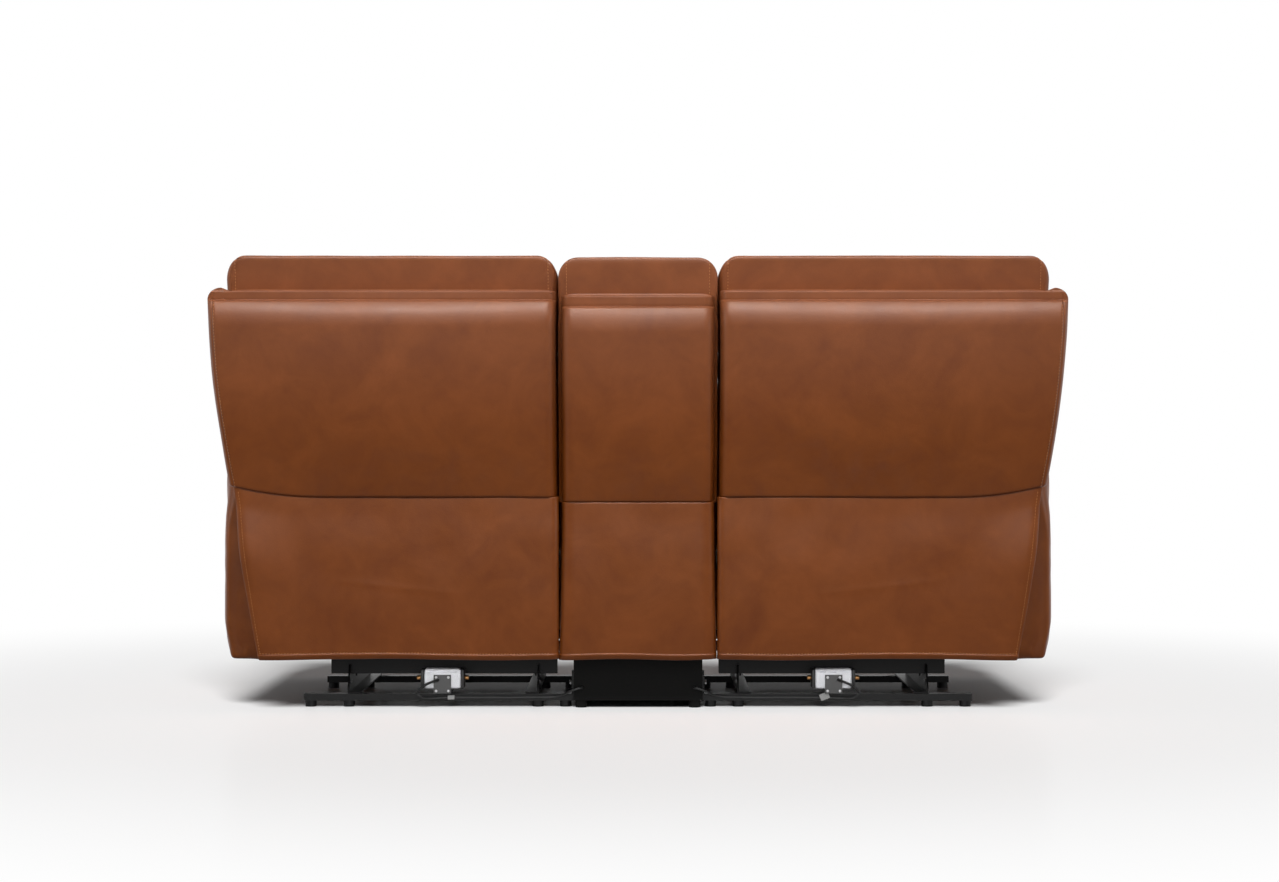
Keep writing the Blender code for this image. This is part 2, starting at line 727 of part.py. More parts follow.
def make_lead(name, side, material):
    """The motor's cable: out of the gear cover, down over the rail and along it to the console."""
    rear = MOTOR_Y + MOTOR_DEPTH / 2 + GEAR_PLATE + TOUCH
    rail_back = REAR_RAIL_Y + RAIL_DEPTH / 2 + LEAD_RADIUS + 0.0015
    edge = MECH_X + GEAR_WIDTH / 2
    end, base_rear = CONSOLE_BASE_WIDTH / 2 - 0.020, CONSOLE_BASE_REAR
    route = [
        (edge - 0.010, rear + 0.001, 0.066), (edge - 0.009, rear + 0.009, 0.066),
        (edge + 0.010, rear + 0.016, 0.060), (edge + 0.030, rear + 0.012, 0.048),
        (edge + 0.038, rear + 0.008, 0.036), (edge + 0.028, rear + 0.006, 0.026),
        (edge + 0.006, rail_back + 0.010, 0.022), (edge - 0.040, rail_back + 0.001, 0.023),
        (edge - 0.120, rail_back, 0.023), (edge - 0.200, rail_back, 0.023),
        (RAIL_IN + 0.050, rail_back, 0.024), (RAIL_IN + 0.020, rail_back + 0.010, 0.030),
        (RAIL_IN + 0.004, base_rear + 0.009, 0.040), (end + 0.010, base_rear + 0.016, 0.047),
        (end, base_rear + 0.010, 0.048), (end, base_rear + 0.001, 0.048),
    ]
    points = smooth_route([Vector((side * x, y, z)) for x, y, z in route], 3)
    curve = bpy.data.curves.new(name, "CURVE")
    curve.dimensions = "3D"
    curve.bevel_depth = LEAD_RADIUS
    curve.bevel_resolution = 1
    curve.use_fill_caps = True
    spline = curve.splines.new("POLY")
    spline.points.add(len(points) - 1)
    for slot, point in zip(spline.points, points):
        slot.co = (*point, 1.0)
    curve.materials.append(material)
    obj = bpy.data.objects.new(name, curve)
    bpy.context.scene.collection.objects.link(obj)
    return obj


def smooth_route(points, steps):
    """Points along a smooth curve through the route's own points (Catmull-Rom)."""
    padded_points = [points[0], *points, points[-1]]
    found = []
    runs = [padded_points[first:] for first in range(4)]
    for p0, p1, p2, p3 in zip(*runs):
        for step in range(steps):
            t = step / steps
            found.append(0.5 * (
                2 * p1 + (p2 - p0) * t + (2 * p0 - 5 * p1 + 4 * p2 - p3) * t ** 2
                + (3 * p1 - p0 - 3 * p2 + p3) * t ** 3))
    return [*found, points[-1]]


# Seat and footrest upholstery

def make_seat_cushion(name, side, material):
    """Crowned box cushion with drawn-in sides and a nose that hangs over the footrest."""
    low_z, rear = DECK_TOP + TOUCH, FRONT_Y + SEAT_SETBACK + SEAT_DEPTH
    front = FRONT_Y + SEAT_SETBACK + SEAT_NOSE
    nose_low = PAD_TOP + PAD_NOSE_GAP

    def point(a, b, c):
        p, q, r = round_off(a, b, c, 7)
        flat = (1 - p * p) * (1 - q * q)
        x = mix(SEAT_IN, SEAT_OUT, (p * (1 - 0.012 * (1 - q * q)) + 1) / 2)
        z = mix(low_z, SEAT_TOP - SEAT_CROWN, (r + 1) / 2)
        z += SEAT_CROWN * flat * max(0.0, r)
        nose = SEAT_NOSE * smooth((z - nose_low) / 0.02)
        y = mix(front - nose, rear, (q + 1) / 2)
        return x, y, z

    return padded(name, (8, 8, 5), point, material, side)


def make_footrest_pad(name, side, material):
    def point(a, b, c):
        p, q, r = round_off(a, b, c, 6)
        x = mix(SEAT_IN + PAD_INSET, SEAT_OUT - PAD_INSET, (p + 1) / 2)
        z = mix(PAD_BOTTOM, PAD_TOP, (r * (1 - 0.01 * (1 - p * p)) + 1) / 2)
        crown = PAD_CROWN * (1 - p * p) * (1 - r * r) * max(0.0, -q)
        y = mix(FRONT_Y + PAD_CROWN, FRONT_Y + PAD_DEPTH, (q + 1) / 2) - crown
        return x, y, z

    return padded(name, (7, 3, 6), point, material, side)


# Back upholstery and frame

def wing_edge(z):
    """Outermost X of a back at a height: it flares over the arm and tucks in above the seam."""
    share = (z - SEAM_HEIGHT) / (BACK_TOP - SEAM_HEIGHT - 0.07)
    return mix(ARM_OUT - WING_TUCK, ARM_OUT + WING_FLARE, min(1.0, max(0.0, share)))


def turn_corner(run, out, start, radius, turn):
    """Bends a flat panel forward round its outer corner: run is X along it and out is off its middle."""
    past = run - start
    if past <= 0:
        return run, out
    angle = min(past / radius, turn)
    leg = max(0.0, past - radius * turn)
    x = start + (radius + out) * math.sin(angle) + leg * math.cos(angle)
    y = (radius + out) * math.cos(angle) - radius - leg * math.sin(angle)
    return x, y


def seam_line(x):
    """Height of the seam below a back, which lifts towards the outer corner."""
    share = (x - ARM_OUT + WING_TUCK + SEAM_CURVE) / SEAM_CURVE
    return SEAM_HEIGHT + SEAM_RISE * min(1.0, max(0.0, share)) ** 2


def panel_run(share, start, leg):
    """X along the flattened panel: its flat part, then the corner with points enough, then the wing."""
    bend = start + WING_RADIUS * WING_TURN
    if share < CORNER_FROM:
        return mix(BACK_IN, start, share / CORNER_FROM)
    if share < CORNER_TO:
        return mix(start, bend, (share - CORNER_FROM) / (CORNER_TO - CORNER_FROM))
    return bend + leg * (share - CORNER_TO) / (1 - CORNER_TO)


def make_outside_back(name, side, material):
    """Padded rear panel that turns forward into the wing beside the headrest."""
    def point(a, b, c):
        p, q, r = round_panel(a, b, c, 9)
        share = (p + 1) / 2
        wing_share = max(0.0, (share - CORNER_FROM) / (1 - CORNER_FROM))
        start = wing_edge(SEAM_HEIGHT) - WING_RADIUS - WING_THICK / 2
        seam = seam_line(panel_run(share, start, WING_LEG))
        z = mix(seam, BACK_TOP + WING_RISE * wing_share, (r + 1) / 2)
        start = wing_edge(z) - WING_RADIUS - WING_THICK / 2
        thick = mix(PANEL_THICK, WING_THICK, smooth(share / CORNER_FROM * 5 - 4))
        leg = WING_LEG + WING_REACH * smooth((z - ARM_TOP + 0.02) / 0.15)
        run = panel_run(share, start, leg)
        out = q * thick / 2 + PANEL_CROWN * (1 - p * p) * (1 - r * r) * max(0.0, q)
        x, y = turn_corner(run, out, start, WING_RADIUS, WING_TURN)
        return x, rear_plane(z) - PANEL_THICK / 2 + y, z

    return padded(name, (16, 2, 9), point, material, side)


def make_skirt(name, side, material):
    """Leather panel that hangs from the seam to just above the floor frame."""
    def point(a, b, c):
        p, q, r = round_panel(a, b, c, 60)
        share = (p + 1) / 2
        top = seam_line(mix(BACK_IN, ARM_OUT - SKIRT_TUCK_TOP, share)) - 0.003
        z = mix(SKIRT_BOTTOM, top, (r + 1) / 2)
        down = (SEAM_HEIGHT - z) / (SEAM_HEIGHT - SKIRT_BOTTOM)
        edge = ARM_OUT - mix(SKIRT_TUCK_TOP, SKIRT_TUCK_BOTTOM, down)
        start = edge - SKIRT_RADIUS * math.sin(SKIRT_TURN)
        run = mix(BACK_IN, start + SKIRT_RADIUS * SKIRT_TURN, share)
        x, y = turn_corner(run, q * SKIRT_THICK / 2, start, SKIRT_RADIUS, SKIRT_TURN)
        bulge = SKIRT_OUT * math.sin(math.pi * min(1.0, max(0.0, down)))
        return x, BACK_FOOT_Y - PANEL_THICK / 2 + bulge + y, z

    return padded(name, (11, 1, 7), point, material, side)


def make_back_cushion(name, side, material):
    """Lumbar cushion: it fits between arm and console low down and spreads over the arm above it."""
    spread = wing_edge(SHOULDER) - WING_THICK - 0.012
    narrow = SEAT_OUT - 0.004

    def point(a, b, c):
        p, q, r = round_off(a, b, c, 7)
        z = mix(BACK_CUSHION_BOTTOM, BACK_CUSHION_TOP, (r + 1) / 2)
        outer = mix(narrow, spread, smooth((z - SHOULDER) / 0.03))
        x = mix(BACK_IN, outer, (p + 1) / 2)
        depth = BACK_CUSHION_DEPTH - 0.018 * (1 - (1 - p * p) * (1 - r * r))
        rear = rear_plane(z) - CUSHION_SETBACK
        return x, mix(rear - depth, rear, (q + 1) / 2), z

    return padded(name, (8, 4, 9), point, material, side)


def headrest_axis():
    z = HEADREST_BOTTOM + HEADREST_DEPTH / 2
    return rear_plane(z) - CUSHION_SETBACK - HEADREST_DEPTH / 2, z


def make_headrest(name, side, material):
    """Rounded below like a roll about its hinge, so that it can tip forward over the cushion beneath."""
    outer = wing_edge(HEADREST_BOTTOM) - WING_THICK - 0.003
    axis_y, axis_z = headrest_axis()
    roll = HEADREST_DEPTH / 2

    def point(a, b, c):
        a, b, c = crowd(a), crowd(b), crowd(c)
        bend = 2.2 if c < 0 else 6
        girth = (abs(b) ** bend + abs(c) ** bend) ** (1 / bend)
        pull = (abs(a) ** 8 + girth ** 8) ** (-1 / 8)
        p, q, r = a * pull, b * pull, c * pull
        x = mix(BACK_IN + 0.002, outer, (p + 1) / 2)
        z = axis_z + r * (HEADREST_TOP - axis_z if r > 0 else roll)
        lean = rear_plane(max(z, axis_z)) - rear_plane(axis_z)
        crown = 0.012 * (1 - p * p) * 4 * max(0.0, r) * (1 - r) * max(0.0, -q)
        return x, axis_y + lean + q * roll - crown, z

    headrest = padded(name, (8, 4, 8), point, material, side)
    half = LAYER / 2 + STEEL / 2 + HEAD_SLOT_GAP
    past = 2 * HEADREST_DEPTH
    slots = []
    for end in (-1, 1):
        x = end * (layer(3) + layer(4)) / 2
        slots.append(block(
            (x - half, axis_y - HEAD_SLOT_EDGE, axis_z - past),
            (x + half, axis_y + past, axis_z + HEAD_SLOT_EDGE)))
    return merge(headrest, shifted(slots, side * MECH_X), "DIFFERENCE")


def make_back_frame(name, side, material):
    """Two uprights on the back pivot, rails across, and ears that reach forward to the headrest's hinge."""
    hinge = headrest_axis()
    half = FRAME_DEPTH / 2
    foot, knee_z = BACK_PIVOT, BACK_KNEE_Z
    outline = [
        (foot[0] - EDGE, foot[1] - EDGE / 2), (foot[0] - EDGE / 2, foot[1] - EDGE),
        (foot[0] + EDGE / 2, foot[1] - EDGE), (foot[0] + EDGE, foot[1] - EDGE / 2),
        (frame_line(knee_z) + half, knee_z), (frame_line(hinge[1]) + half, hinge[1]),
        (frame_line(hinge[1]) - half, hinge[1]), (frame_line(knee_z) - half, knee_z),
        (foot[0] - EDGE, foot[1] + SWEEP),
    ]
    shapes = pair_of_plates(outline, 3)
    ear_root = (frame_line(hinge[1]), hinge[1])
    shapes.extend(pair_of_plates(bar_outline(ear_root, hinge, HINGE_EAR), 3))
    deep, tall = half - BACK_RAIL_INSET, BACK_RAIL_WIDTH / 2
    for share in (0, 0.5, 1):
        z = mix(BACK_RAIL_LOW, BACK_RAIL_HIGH, share)
        y = frame_line(z)
        shapes.append(block((-layer(3), y - deep, z - tall), (layer(3), y + deep, z + tall)))
    shapes.extend(pair_of_pins(foot, 3, 2))
    return build_steel(name, shapes, pair_of_holes([hinge], 3), material, side)


def make_headrest_bracket(name, side, material):
    """Steel arms that run from the hinge, inside the headrest's slots, to a plate across its rear."""
    hinge = headrest_axis()
    rear = hinge[0] + HEADREST_DEPTH / 2
    low_z, top_z = hinge[1] + HEAD_PLATE_LOW, hinge[1] + HEAD_PLATE_TOP
    thick = HEAD_PLATE_THICK

    def behind(z, off):
        return rear + rear_plane(z) - rear_plane(hinge[1]) + off, z

    elbow = (rear + thick, hinge[1])
    shapes = pair_of_plates(bar_outline(hinge, elbow, HEAD_ARM_WIDTH), 4)
    shapes.extend(pair_of_plates(bar_outline(elbow, behind(top_z, thick), HEAD_ARM_WIDTH), 4))
    across_plate = [
        behind(low_z, TOUCH), behind(low_z, thick), behind(top_z, thick), behind(top_z, TOUCH)]
    shapes.append(plate(across_plate, -layer(4), layer(4)))
    shapes.extend(pair_of_pins(hinge, 4, 3))
    return build_steel(name, shapes, [], material, side)


# Arms and controls

def make_arm(name, side, material):
    """Padded arm with a full round top, drawn in a little along its base."""
    def point(a, b, c):
        p, q, r = round_off(a, b, c, 6)
        x = mix(ARM_IN, ARM_OUT - 0.006 * max(0.0, -r), (p + 1) / 2)
        y = mix(ARM_FRONT, ARM_REAR, (q + 1) / 2)
        z = mix(ARM_BOTTOM, ARM_TOP, (r + 1) / 2)
        return x, y, z

    return padded(name, (5, 8, 8), point, material, side)


def control_face():
    return ARM_IN - TOUCH - CONTROL_THICK


def make_control_plate(name, side, material):
    """Switch plate on the arm's inner face, with a square opening for each button."""
    low, high = across(side, control_face(), ARM_IN - TOUCH)
    half_y, half_z = CONTROL_LENGTH / 2, CONTROL_HEIGHT / 2
    obj = make_object(name, block(
        (low, CONTROL_Y - half_y, CONTROL_Z - half_z),
        (high, CONTROL_Y + half_y, CONTROL_Z + half_z)), material)
    half, past = BUTTON_SIZE / 2 + BUTTON_GAP, CONTROL_THICK
    cuts = [
        block((low - past, y - half, CONTROL_Z - half), (high + past, y + half, CONTROL_Z + half))
        for y in button_places()
    ]
    return merge(obj, cuts, "DIFFERENCE")


def button_places():
    return CONTROL_Y - BUTTON_PITCH / 2, CONTROL_Y + BUTTON_PITCH / 2


def make_button(name, y, side, material):
    """A push button: proud of its plate, with room behind it to travel towards the arm."""
    low, high = across(side, control_face() - BUTTON_PROUD, control_face() + CONTROL_THICK / 2)
    half = BUTTON_SIZE / 2
    shape = block((low, y - half, CONTROL_Z - half), (high, y + half, CONTROL_Z + half))
    bmesh.ops.bevel(
        shape, geom=shape.edges[:], offset=BUTTON_ROUND, segments=1, profile=0.5,
        affect="EDGES", material=-1)
    return make_object(name, shape, material)


# Console

def make_console_body(name, material):
    """Upholstered box with a storage well and two pockets for the cup holders."""
    def point(a, b, c):
        p, q, r = round_off(a, b, c, 16)
        x = mix(-CONSOLE_SIDE, CONSOLE_SIDE, (p + 1) / 2)
        y = mix(CONSOLE_FRONT, CONSOLE_REAR, (q + 1) / 2)
        z = mix(CONSOLE_BOTTOM, CONSOLE_TOP, (r + 1) / 2)
        return x, y, z

    body = padded(name, (6, 6, 6), point, material)
    half, above = STORAGE_WIDTH / 2, CONSOLE_TOP + LID_THICK
    well = block(
        (-half, STORAGE_FRONT, CONSOLE_TOP - STORAGE_DEPTH),
        (half, STORAGE_FRONT + STORAGE_LENGTH, above))
    pocket = CUP_RADIUS + FIT
    pockets = [
        rod((x, CUP_Y, CONSOLE_TOP - CUP_DEPTH - FIT), (x, CUP_Y, above), pocket, 24)
        for x in cup_places()
    ]
    return merge(body, [well, *pockets], "DIFFERENCE")


def cup_places():
    return -CUP_SPACING / 2, CUP_SPACING / 2


def make_cup_holder(name, x, material):
    """A pressed cup with a flat rim, turned from its wall profile."""
    inner, outer = CUP_RADIUS - CUP_WALL, CUP_RADIUS
    rim, top = CUP_RADIUS + CUP_RIM, CONSOLE_TOP + TOUCH
    floor = CONSOLE_TOP - CUP_DEPTH
    profile = [
        (0.0, floor + CUP_WALL), (inner, floor + CUP_WALL), (inner, top + CUP_WALL),
        (rim, top + CUP_WALL), (rim, top), (outer, top), (outer, floor), (0.0, floor),
    ]
    shape = bmesh.new()
    verts = [shape.verts.new((x + r, CUP_Y, z)) for r, z in profile]
    edges = [shape.edges.new(pair) for pair in zip(verts, verts[1:])]
    bmesh.ops.spin(
        shape, geom=verts + edges, cent=(x, CUP_Y, 0), axis=(0, 0, 1),
        angle=2 * math.pi, steps=24, use_merge=True)
    bmesh.ops.remove_doubles(shape, verts=shape.verts, dist=1e-6)
    bmesh.ops.recalc_face_normals(shape, faces=shape.faces)
    return soften(make_object(name, shape, material))


def make_console_lid(name, material):
    """Padded armrest lid over the storage well."""
    half = STORAGE_WIDTH / 2 + LID_OVERHANG
    front = STORAGE_FRONT - LID_OVERHANG

    def point(a, b, c):
        p, q, r = round_off(a, b, c, 7)
        x = half * p
        y = mix(front, LID_HINGE_Y, (q + 1) / 2)
        crown = LID_CROWN * (1 - p * p) * (1 - q * q) * max(0.0, r)
        return x, y, mix(LID_BOTTOM, LID_BOTTOM + LID_THICK - LID_CROWN, (r + 1) / 2) + crown

    return padded(name, (6, 6, 3), point, material)


def make_console_base(name, material):
    """Black plinth on four glides."""
    half = CONSOLE_BASE_WIDTH / 2
    top, bottom = CONSOLE_BOTTOM - TOUCH, GLIDE_HEIGHT + BASE_LIFT
    body = make_object(name, block(
        (-half, CONSOLE_BASE_FRONT, bottom), (half, CONSOLE_BASE_REAR, top)), material)
    inset = BASE_GLIDE_INSET
    feet = []
    for x in (-half + inset, half - inset):
        for y in (CONSOLE_BASE_FRONT + inset, CONSOLE_BASE_REAR - inset):
            feet.append(rod((x, y, 0.0), (x, y, 2 * GLIDE_HEIGHT), GLIDE_RADIUS, 16))
    return merge(body, feet)


def make_console_outside_back(name, material):
    def point(a, b, c):
        p, q, r = round_panel(a, b, c, 9)
        x = CONSOLE_BACK_WIDTH / 2 * p
        z = mix(CONSOLE_SEAM, CONSOLE_BACK_TOP, (r + 1) / 2)
        out = q * PANEL_THICK / 2 + CONSOLE_CROWN * (1 - p * p) * (1 - r * r) * max(0.0, q)
        return x, rear_plane(z) - PANEL_THICK / 2 + out, z

    return padded(name, (6, 2, 8), point, material)


def make_console_back_cushion(name, material):
    """Tall fixed cushion that carries the line of the two backs across the console."""
    def point(a, b, c):
        p, q, r = round_off(a, b, c, 6)
        x = CONSOLE_BACK_WIDTH / 2 * p
        z = mix(LID_BOTTOM, CONSOLE_HEADREST_TOP, (r + 1) / 2)
        rear = rear_plane(z) - FRAME_SETBACK
        depth = HEADREST_DEPTH + FRAME_DEPTH + 0.010 * (1 - p * p) * (1 - r * r)
        return x, mix(rear - depth, rear, (q + 1) / 2), z

    return padded(name, (6, 4, 8), point, material)


def make_console_skirt(name, material):
    def point(a, b, c):
        p, q, r = round_panel(a, b, c, 60)
        z = mix(SKIRT_BOTTOM, CONSOLE_SEAM - 0.002, (r + 1) / 2)
        down = (CONSOLE_SEAM - z) / (CONSOLE_SEAM - SKIRT_BOTTOM)
        x = (CONSOLE_BACK_WIDTH / 2 + 0.004 * down) * p
        bulge = SKIRT_OUT * math.sin(math.pi * min(1.0, max(0.0, down)))
        return x, BACK_FOOT_Y - PANEL_THICK / 2 + bulge + q * SKIRT_THICK / 2, z

    return padded(name, (6, 1, 6), point, material)


# Assembly

def assemble_seat(word, side, look):
    """Everything that belongs to one seat, with its empties in the order that the joints chain."""
    middle = side * MECH_X
    leather, steel = look["leather"], look["steel"]

    make_foot_rail(f"{word}_rear_foot_rail", REAR_RAIL_Y, side, steel, True)
    make_foot_rail(f"{word}_front_foot_rail", FRONT_RAIL_Y, side, steel, False)
    make_base_frame(f"{word}_base_frame", side, steel)
    make_motor(f"{word}_drive_motor", side, look["motor"])
    make_gearbox(f"{word}_gearbox", side, look["plastic"])
    make_drive_rail(f"{word}_drive_rail", side, steel)
    make_lead(f"{word}_motor_lead", side, look["cable"])
    make_arm(f"{word}_arm", side, leather)
    make_control_plate(f"{word}_control_plate", side, look["plastic"])
    for label, y in zip(("open", "close"), button_places()):
        at = joint_empty(f"{word}_{label}_button_travel", (side * control_face(), y, CONTROL_Z))
        hang(make_button(f"{word}_{label}_button", y, side, look["bright"]), at)

    at = joint_empty(f"{word}_drive_travel", (middle, SLIDER_Y, DRIVE_Z))
    hang(make_slider(f"{word}_drive_slider", side, steel), at)
    at = joint_empty(f"{word}_rear_swing_axis", (middle, SWING_REAR_Y, SWING_PIVOT_Z))
    hang(make_swing(f"{word}_rear_swing_links", SWING_REAR_Y, side, steel), at)
    swing = joint_empty(f"{word}_front_swing_axis", (middle, SWING_FRONT_Y, SWING_PIVOT_Z))
    hang(make_swing(f"{word}_front_swing_links", SWING_FRONT_Y, side, steel), swing)

    seat = joint_empty(f"{word}_seat_axis", (middle, *swing_top(SWING_FRONT_Y)), swing)
    hang(make_seat_frame(f"{word}_seat_frame", side, steel), seat)
    hang(make_seat_cushion(f"{word}_seat_cushion", side, leather), seat)
    hang(make_skirt(f"{word}_back_skirt", side, leather), seat)

    back = joint_empty(f"{word}_recline_axis", (middle, *BACK_PIVOT), seat)
    hang(make_back_frame(f"{word}_back_frame", side, steel), back)
    hang(make_back_cushion(f"{word}_back_cushion", side, leather), back)
    hang(make_outside_back(f"{word}_outside_back", side, leather), back)
    tilt = joint_empty(f"{word}_headrest_axis", (middle, *headrest_axis()), back)
    hang(make_headrest_bracket(f"{word}_headrest_bracket", side, steel), tilt)
    hang(make_headrest(f"{word}_headrest", side, leather), tilt)

    leg = joint_empty(f"{word}_rear_link_axis", (middle, -LEG_PIVOT[0], LEG_PIVOT[1]), seat)
    hang(make_rear_links(f"{word}_rear_legrest_links", side, steel), leg)
    knee = joint_empty(f"{word}_front_link_axis", (middle, -knee_point()[0], knee_point()[1]), leg)
    hang(make_front_links(f"{word}_front_legrest_links", side, steel), knee)
    foot = joint_empty(f"{word}_footrest_axis", (middle, -FOOT_PIVOT[0], FOOT_PIVOT[1]), knee)
    hang(make_footrest_board(f"{word}_footrest_board", side, look["wood"]), foot)
    hang(make_footrest_pad(f"{word}_footrest_pad", side, leather), foot)


def assemble_console(look):
    leather = look["leather"]
    make_console_base("console_base", look["plinth"])
    make_console_body("console_body", leather)
    for word, x in zip(("right", "left"), cup_places()):
        make_cup_holder(f"{word}_cup_holder", x, look["bright"])
    make_console_outside_back("console_outside_back", leather)
    make_console_back_cushion("console_back_cushion", leather)
    make_console_skirt("console_skirt", leather)
    hinge = joint_empty("console_lid_axis", (0.0, LID_HINGE_Y, LID_BOTTOM))
    hang(make_console_lid("console_lid", leather), hinge)


def main():
    clear_scene()
    look = make_finishes()
    for word, side in SIDES.items():
        assemble_seat(word, side, look)
    assemble_console(look)


main()
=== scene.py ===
import json
import math

import bmesh
import bpy
from mathutils import Matrix, Vector, noise
from mathutils.bvhtree import BVHTree


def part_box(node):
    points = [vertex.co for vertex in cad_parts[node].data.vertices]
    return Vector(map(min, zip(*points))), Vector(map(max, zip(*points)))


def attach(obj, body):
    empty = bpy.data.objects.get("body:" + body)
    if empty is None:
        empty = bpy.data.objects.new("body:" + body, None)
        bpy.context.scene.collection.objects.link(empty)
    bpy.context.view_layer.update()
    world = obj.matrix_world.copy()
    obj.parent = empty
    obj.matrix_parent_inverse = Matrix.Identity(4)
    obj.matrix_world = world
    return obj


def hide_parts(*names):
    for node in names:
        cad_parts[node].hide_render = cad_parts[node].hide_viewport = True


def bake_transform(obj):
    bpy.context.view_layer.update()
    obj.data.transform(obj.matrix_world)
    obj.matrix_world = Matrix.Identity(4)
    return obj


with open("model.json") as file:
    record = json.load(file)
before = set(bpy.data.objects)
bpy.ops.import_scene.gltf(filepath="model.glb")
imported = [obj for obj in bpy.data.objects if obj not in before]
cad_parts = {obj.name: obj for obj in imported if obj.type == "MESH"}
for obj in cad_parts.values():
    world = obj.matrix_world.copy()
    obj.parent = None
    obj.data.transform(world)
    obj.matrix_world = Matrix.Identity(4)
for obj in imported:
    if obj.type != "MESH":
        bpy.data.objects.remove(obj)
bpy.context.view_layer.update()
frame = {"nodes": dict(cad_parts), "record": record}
nodes = frame["nodes"]
scene = bpy.context.scene
sides = {"left": 1, "right": -1}  # the sitter's left is +X, and the photograph looks at the back


# small sums that the shapes share

def between(start, end, share):
    return start + (end - start) * share


def ease(share):
    share = min(1.0, max(0.0, share))
    return share * share * (3 - 2 * share)


def quarterRound(share):  # rises steeply from 0 and lies flat at 1
    share = min(1.0, max(0.0, share))
    return math.sqrt(1 - (1 - share) ** 2)


def ridge(value, middle, width):
    return math.exp(-((value - middle) / width) ** 2)


def ripple(x, y, z, size):  # slow unevenness of stretched hide, about -1 to 1
    return noise.noise(Vector((x, y, z)) / size)


def marks(*stretches):  # cut lines: (start, end, number of cells) for each stretch
    row = []
    for start, end, cells in stretches:
        row += [between(start, end, cell / cells) for cell in range(cells)]
    return row + [stretches[-1][1]]


def edgeMarks(half, radius, cells, roundCells=5):  # finer where a padded edge turns
    inside = half - radius
    return marks((-half, -inside, roundCells), (-inside, inside, cells), (inside, half, roundCells))


# the sloping plane behind the backs, the seam across them and the wing's outline, as in the photograph
back = dict(slope=math.tan(math.radians(11.5)), seamY=0.408, seamZ=0.498, seamRise=0.028, seamCurve=0.215,
            inner=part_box("left_outside_back")[0].x, wingLow=0.9445, wingFlare=0.041, wingHigh=0.41)


def rearPlane(z):
    return back["seamY"] + (z - back["seamZ"]) * back["slope"]


def seamLine(x):  # the seam lifts towards the outer corner
    share = (x - back["wingLow"] + back["seamCurve"]) / back["seamCurve"]
    return back["seamZ"] + back["seamRise"] * min(1.0, max(0.0, share)) ** 2


def wingEdge(z):  # outermost X of the wing at a height
    share = min(1.0, max(0.0, (z - back["seamZ"]) / back["wingHigh"]))
    return back["wingLow"] + back["wingFlare"] * math.sin(share * math.pi / 2)


# camera and stage

view = dict(aside=-0.0035, distance=6.5, height=0.63, lens=74.03)  # read from the photograph's perspective
lamps = dict(
    sky=0.10,
    suns=dict(top=dict(strength=1.0, tilt=6, angle=40), low=dict(strength=0.50, tilt=76, angle=24),
              floorSun=dict(strength=3.8, tilt=50, angle=24)),
    boxes=dict(rearSoftbox=dict(power=71, spot=(0, 2.15, 2.25), aim=(0, 0.45, 0.60), size=(3.4, 0.32)),
               glossCard=dict(power=110, spot=(0, 2.5, 2.5), aim=(0, 0.45, 0.80), size=(3.6, 0.55),
                              onlyGloss=True),
               leftSoftbox=dict(power=45, spot=(4.5, 1.4, 1.3), aim=(0.9, 0.3, 0.5), size=(1.5, 2.0)),
               rightSoftbox=dict(power=45, spot=(-4.5, 1.4, 1.3), aim=(-0.9, 0.3, 0.5), size=(1.5, 2.0)),
               motorLamp=dict(power=12, spot=(0, 1.5, 0.24), aim=(0, 0.3, 0.06), size=(2.4, 0.2)),
               frontSoftbox=dict(power=56, spot=(0, -2.1, 2.6), aim=(0, -0.2, 0.45), size=(3.0, 1.2))))
studioFloor = dict(colour="#fdfdfd", bounce="#303030", whiteFrom=1.4, whiteTo=3.2, roughness=0.22,
                   mirror=0.06, half=60)


def linear(code):  # sRGB hex to linear
    parts = [int(code[i:i + 2], 16) / 255 for i in (1, 3, 5)]
    return [p / 12.92 if p <= 0.04045 else ((p + 0.055) / 1.055) ** 2.4 for p in parts] + [1.0]


def addNode(tree, kind, settings=None, sockets=None):  # a socket's value is a number, a colour or a link
    node = tree.nodes.new(kind)
    for name, value in (settings or {}).items():
        setattr(node, name, value)
    for name, value in (sockets or {}).items():
        if isinstance(value, bpy.types.NodeSocket):
            tree.links.new(value, node.inputs[name])
        else:
            node.inputs[name].default_value = value
    return node


def newMaterial(name):
    material = bpy.data.materials.new(name)
    material.use_nodes = True
    tree = material.node_tree
    return material, tree, tree.nodes["Principled BSDF"]


def setUpCamera():
    data = bpy.data.cameras.new("camera")
    data.lens = view["lens"]
    data.sensor_width = 36
    camera = bpy.data.objects.new("camera", data)
    camera.location = (view["aside"], view["distance"], view["height"])
    camera.rotation_euler = (math.radians(90), 0, math.radians(180))
    scene.collection.objects.link(camera)
    scene.camera = camera


def addSun(name, strength, tilt, angle):  # tilt is from straight down, from the camera's side
    data = bpy.data.lights.new(name, "SUN")
    data.energy = strength
    data.angle = math.radians(angle)
    sun = bpy.data.objects.new(name, data)
    sun.rotation_euler = (-math.radians(tilt), 0, 0)
    scene.collection.objects.link(sun)
    return sun


def addSoftbox(name, power, spot, aim, size, onlyGloss=False):
    data = bpy.data.lights.new(name, "AREA")
    data.energy = power
    data.shape = "RECTANGLE"
    data.size, data.size_y = size
    box = bpy.data.objects.new(name, data)
    box.location = spot
    box.rotation_euler = (Vector(aim) - Vector(spot)).to_track_quat("-Z", "Y").to_euler()
    box.visible_camera = False
    box.visible_diffuse = not onlyGloss
    scene.collection.objects.link(box)
    return box


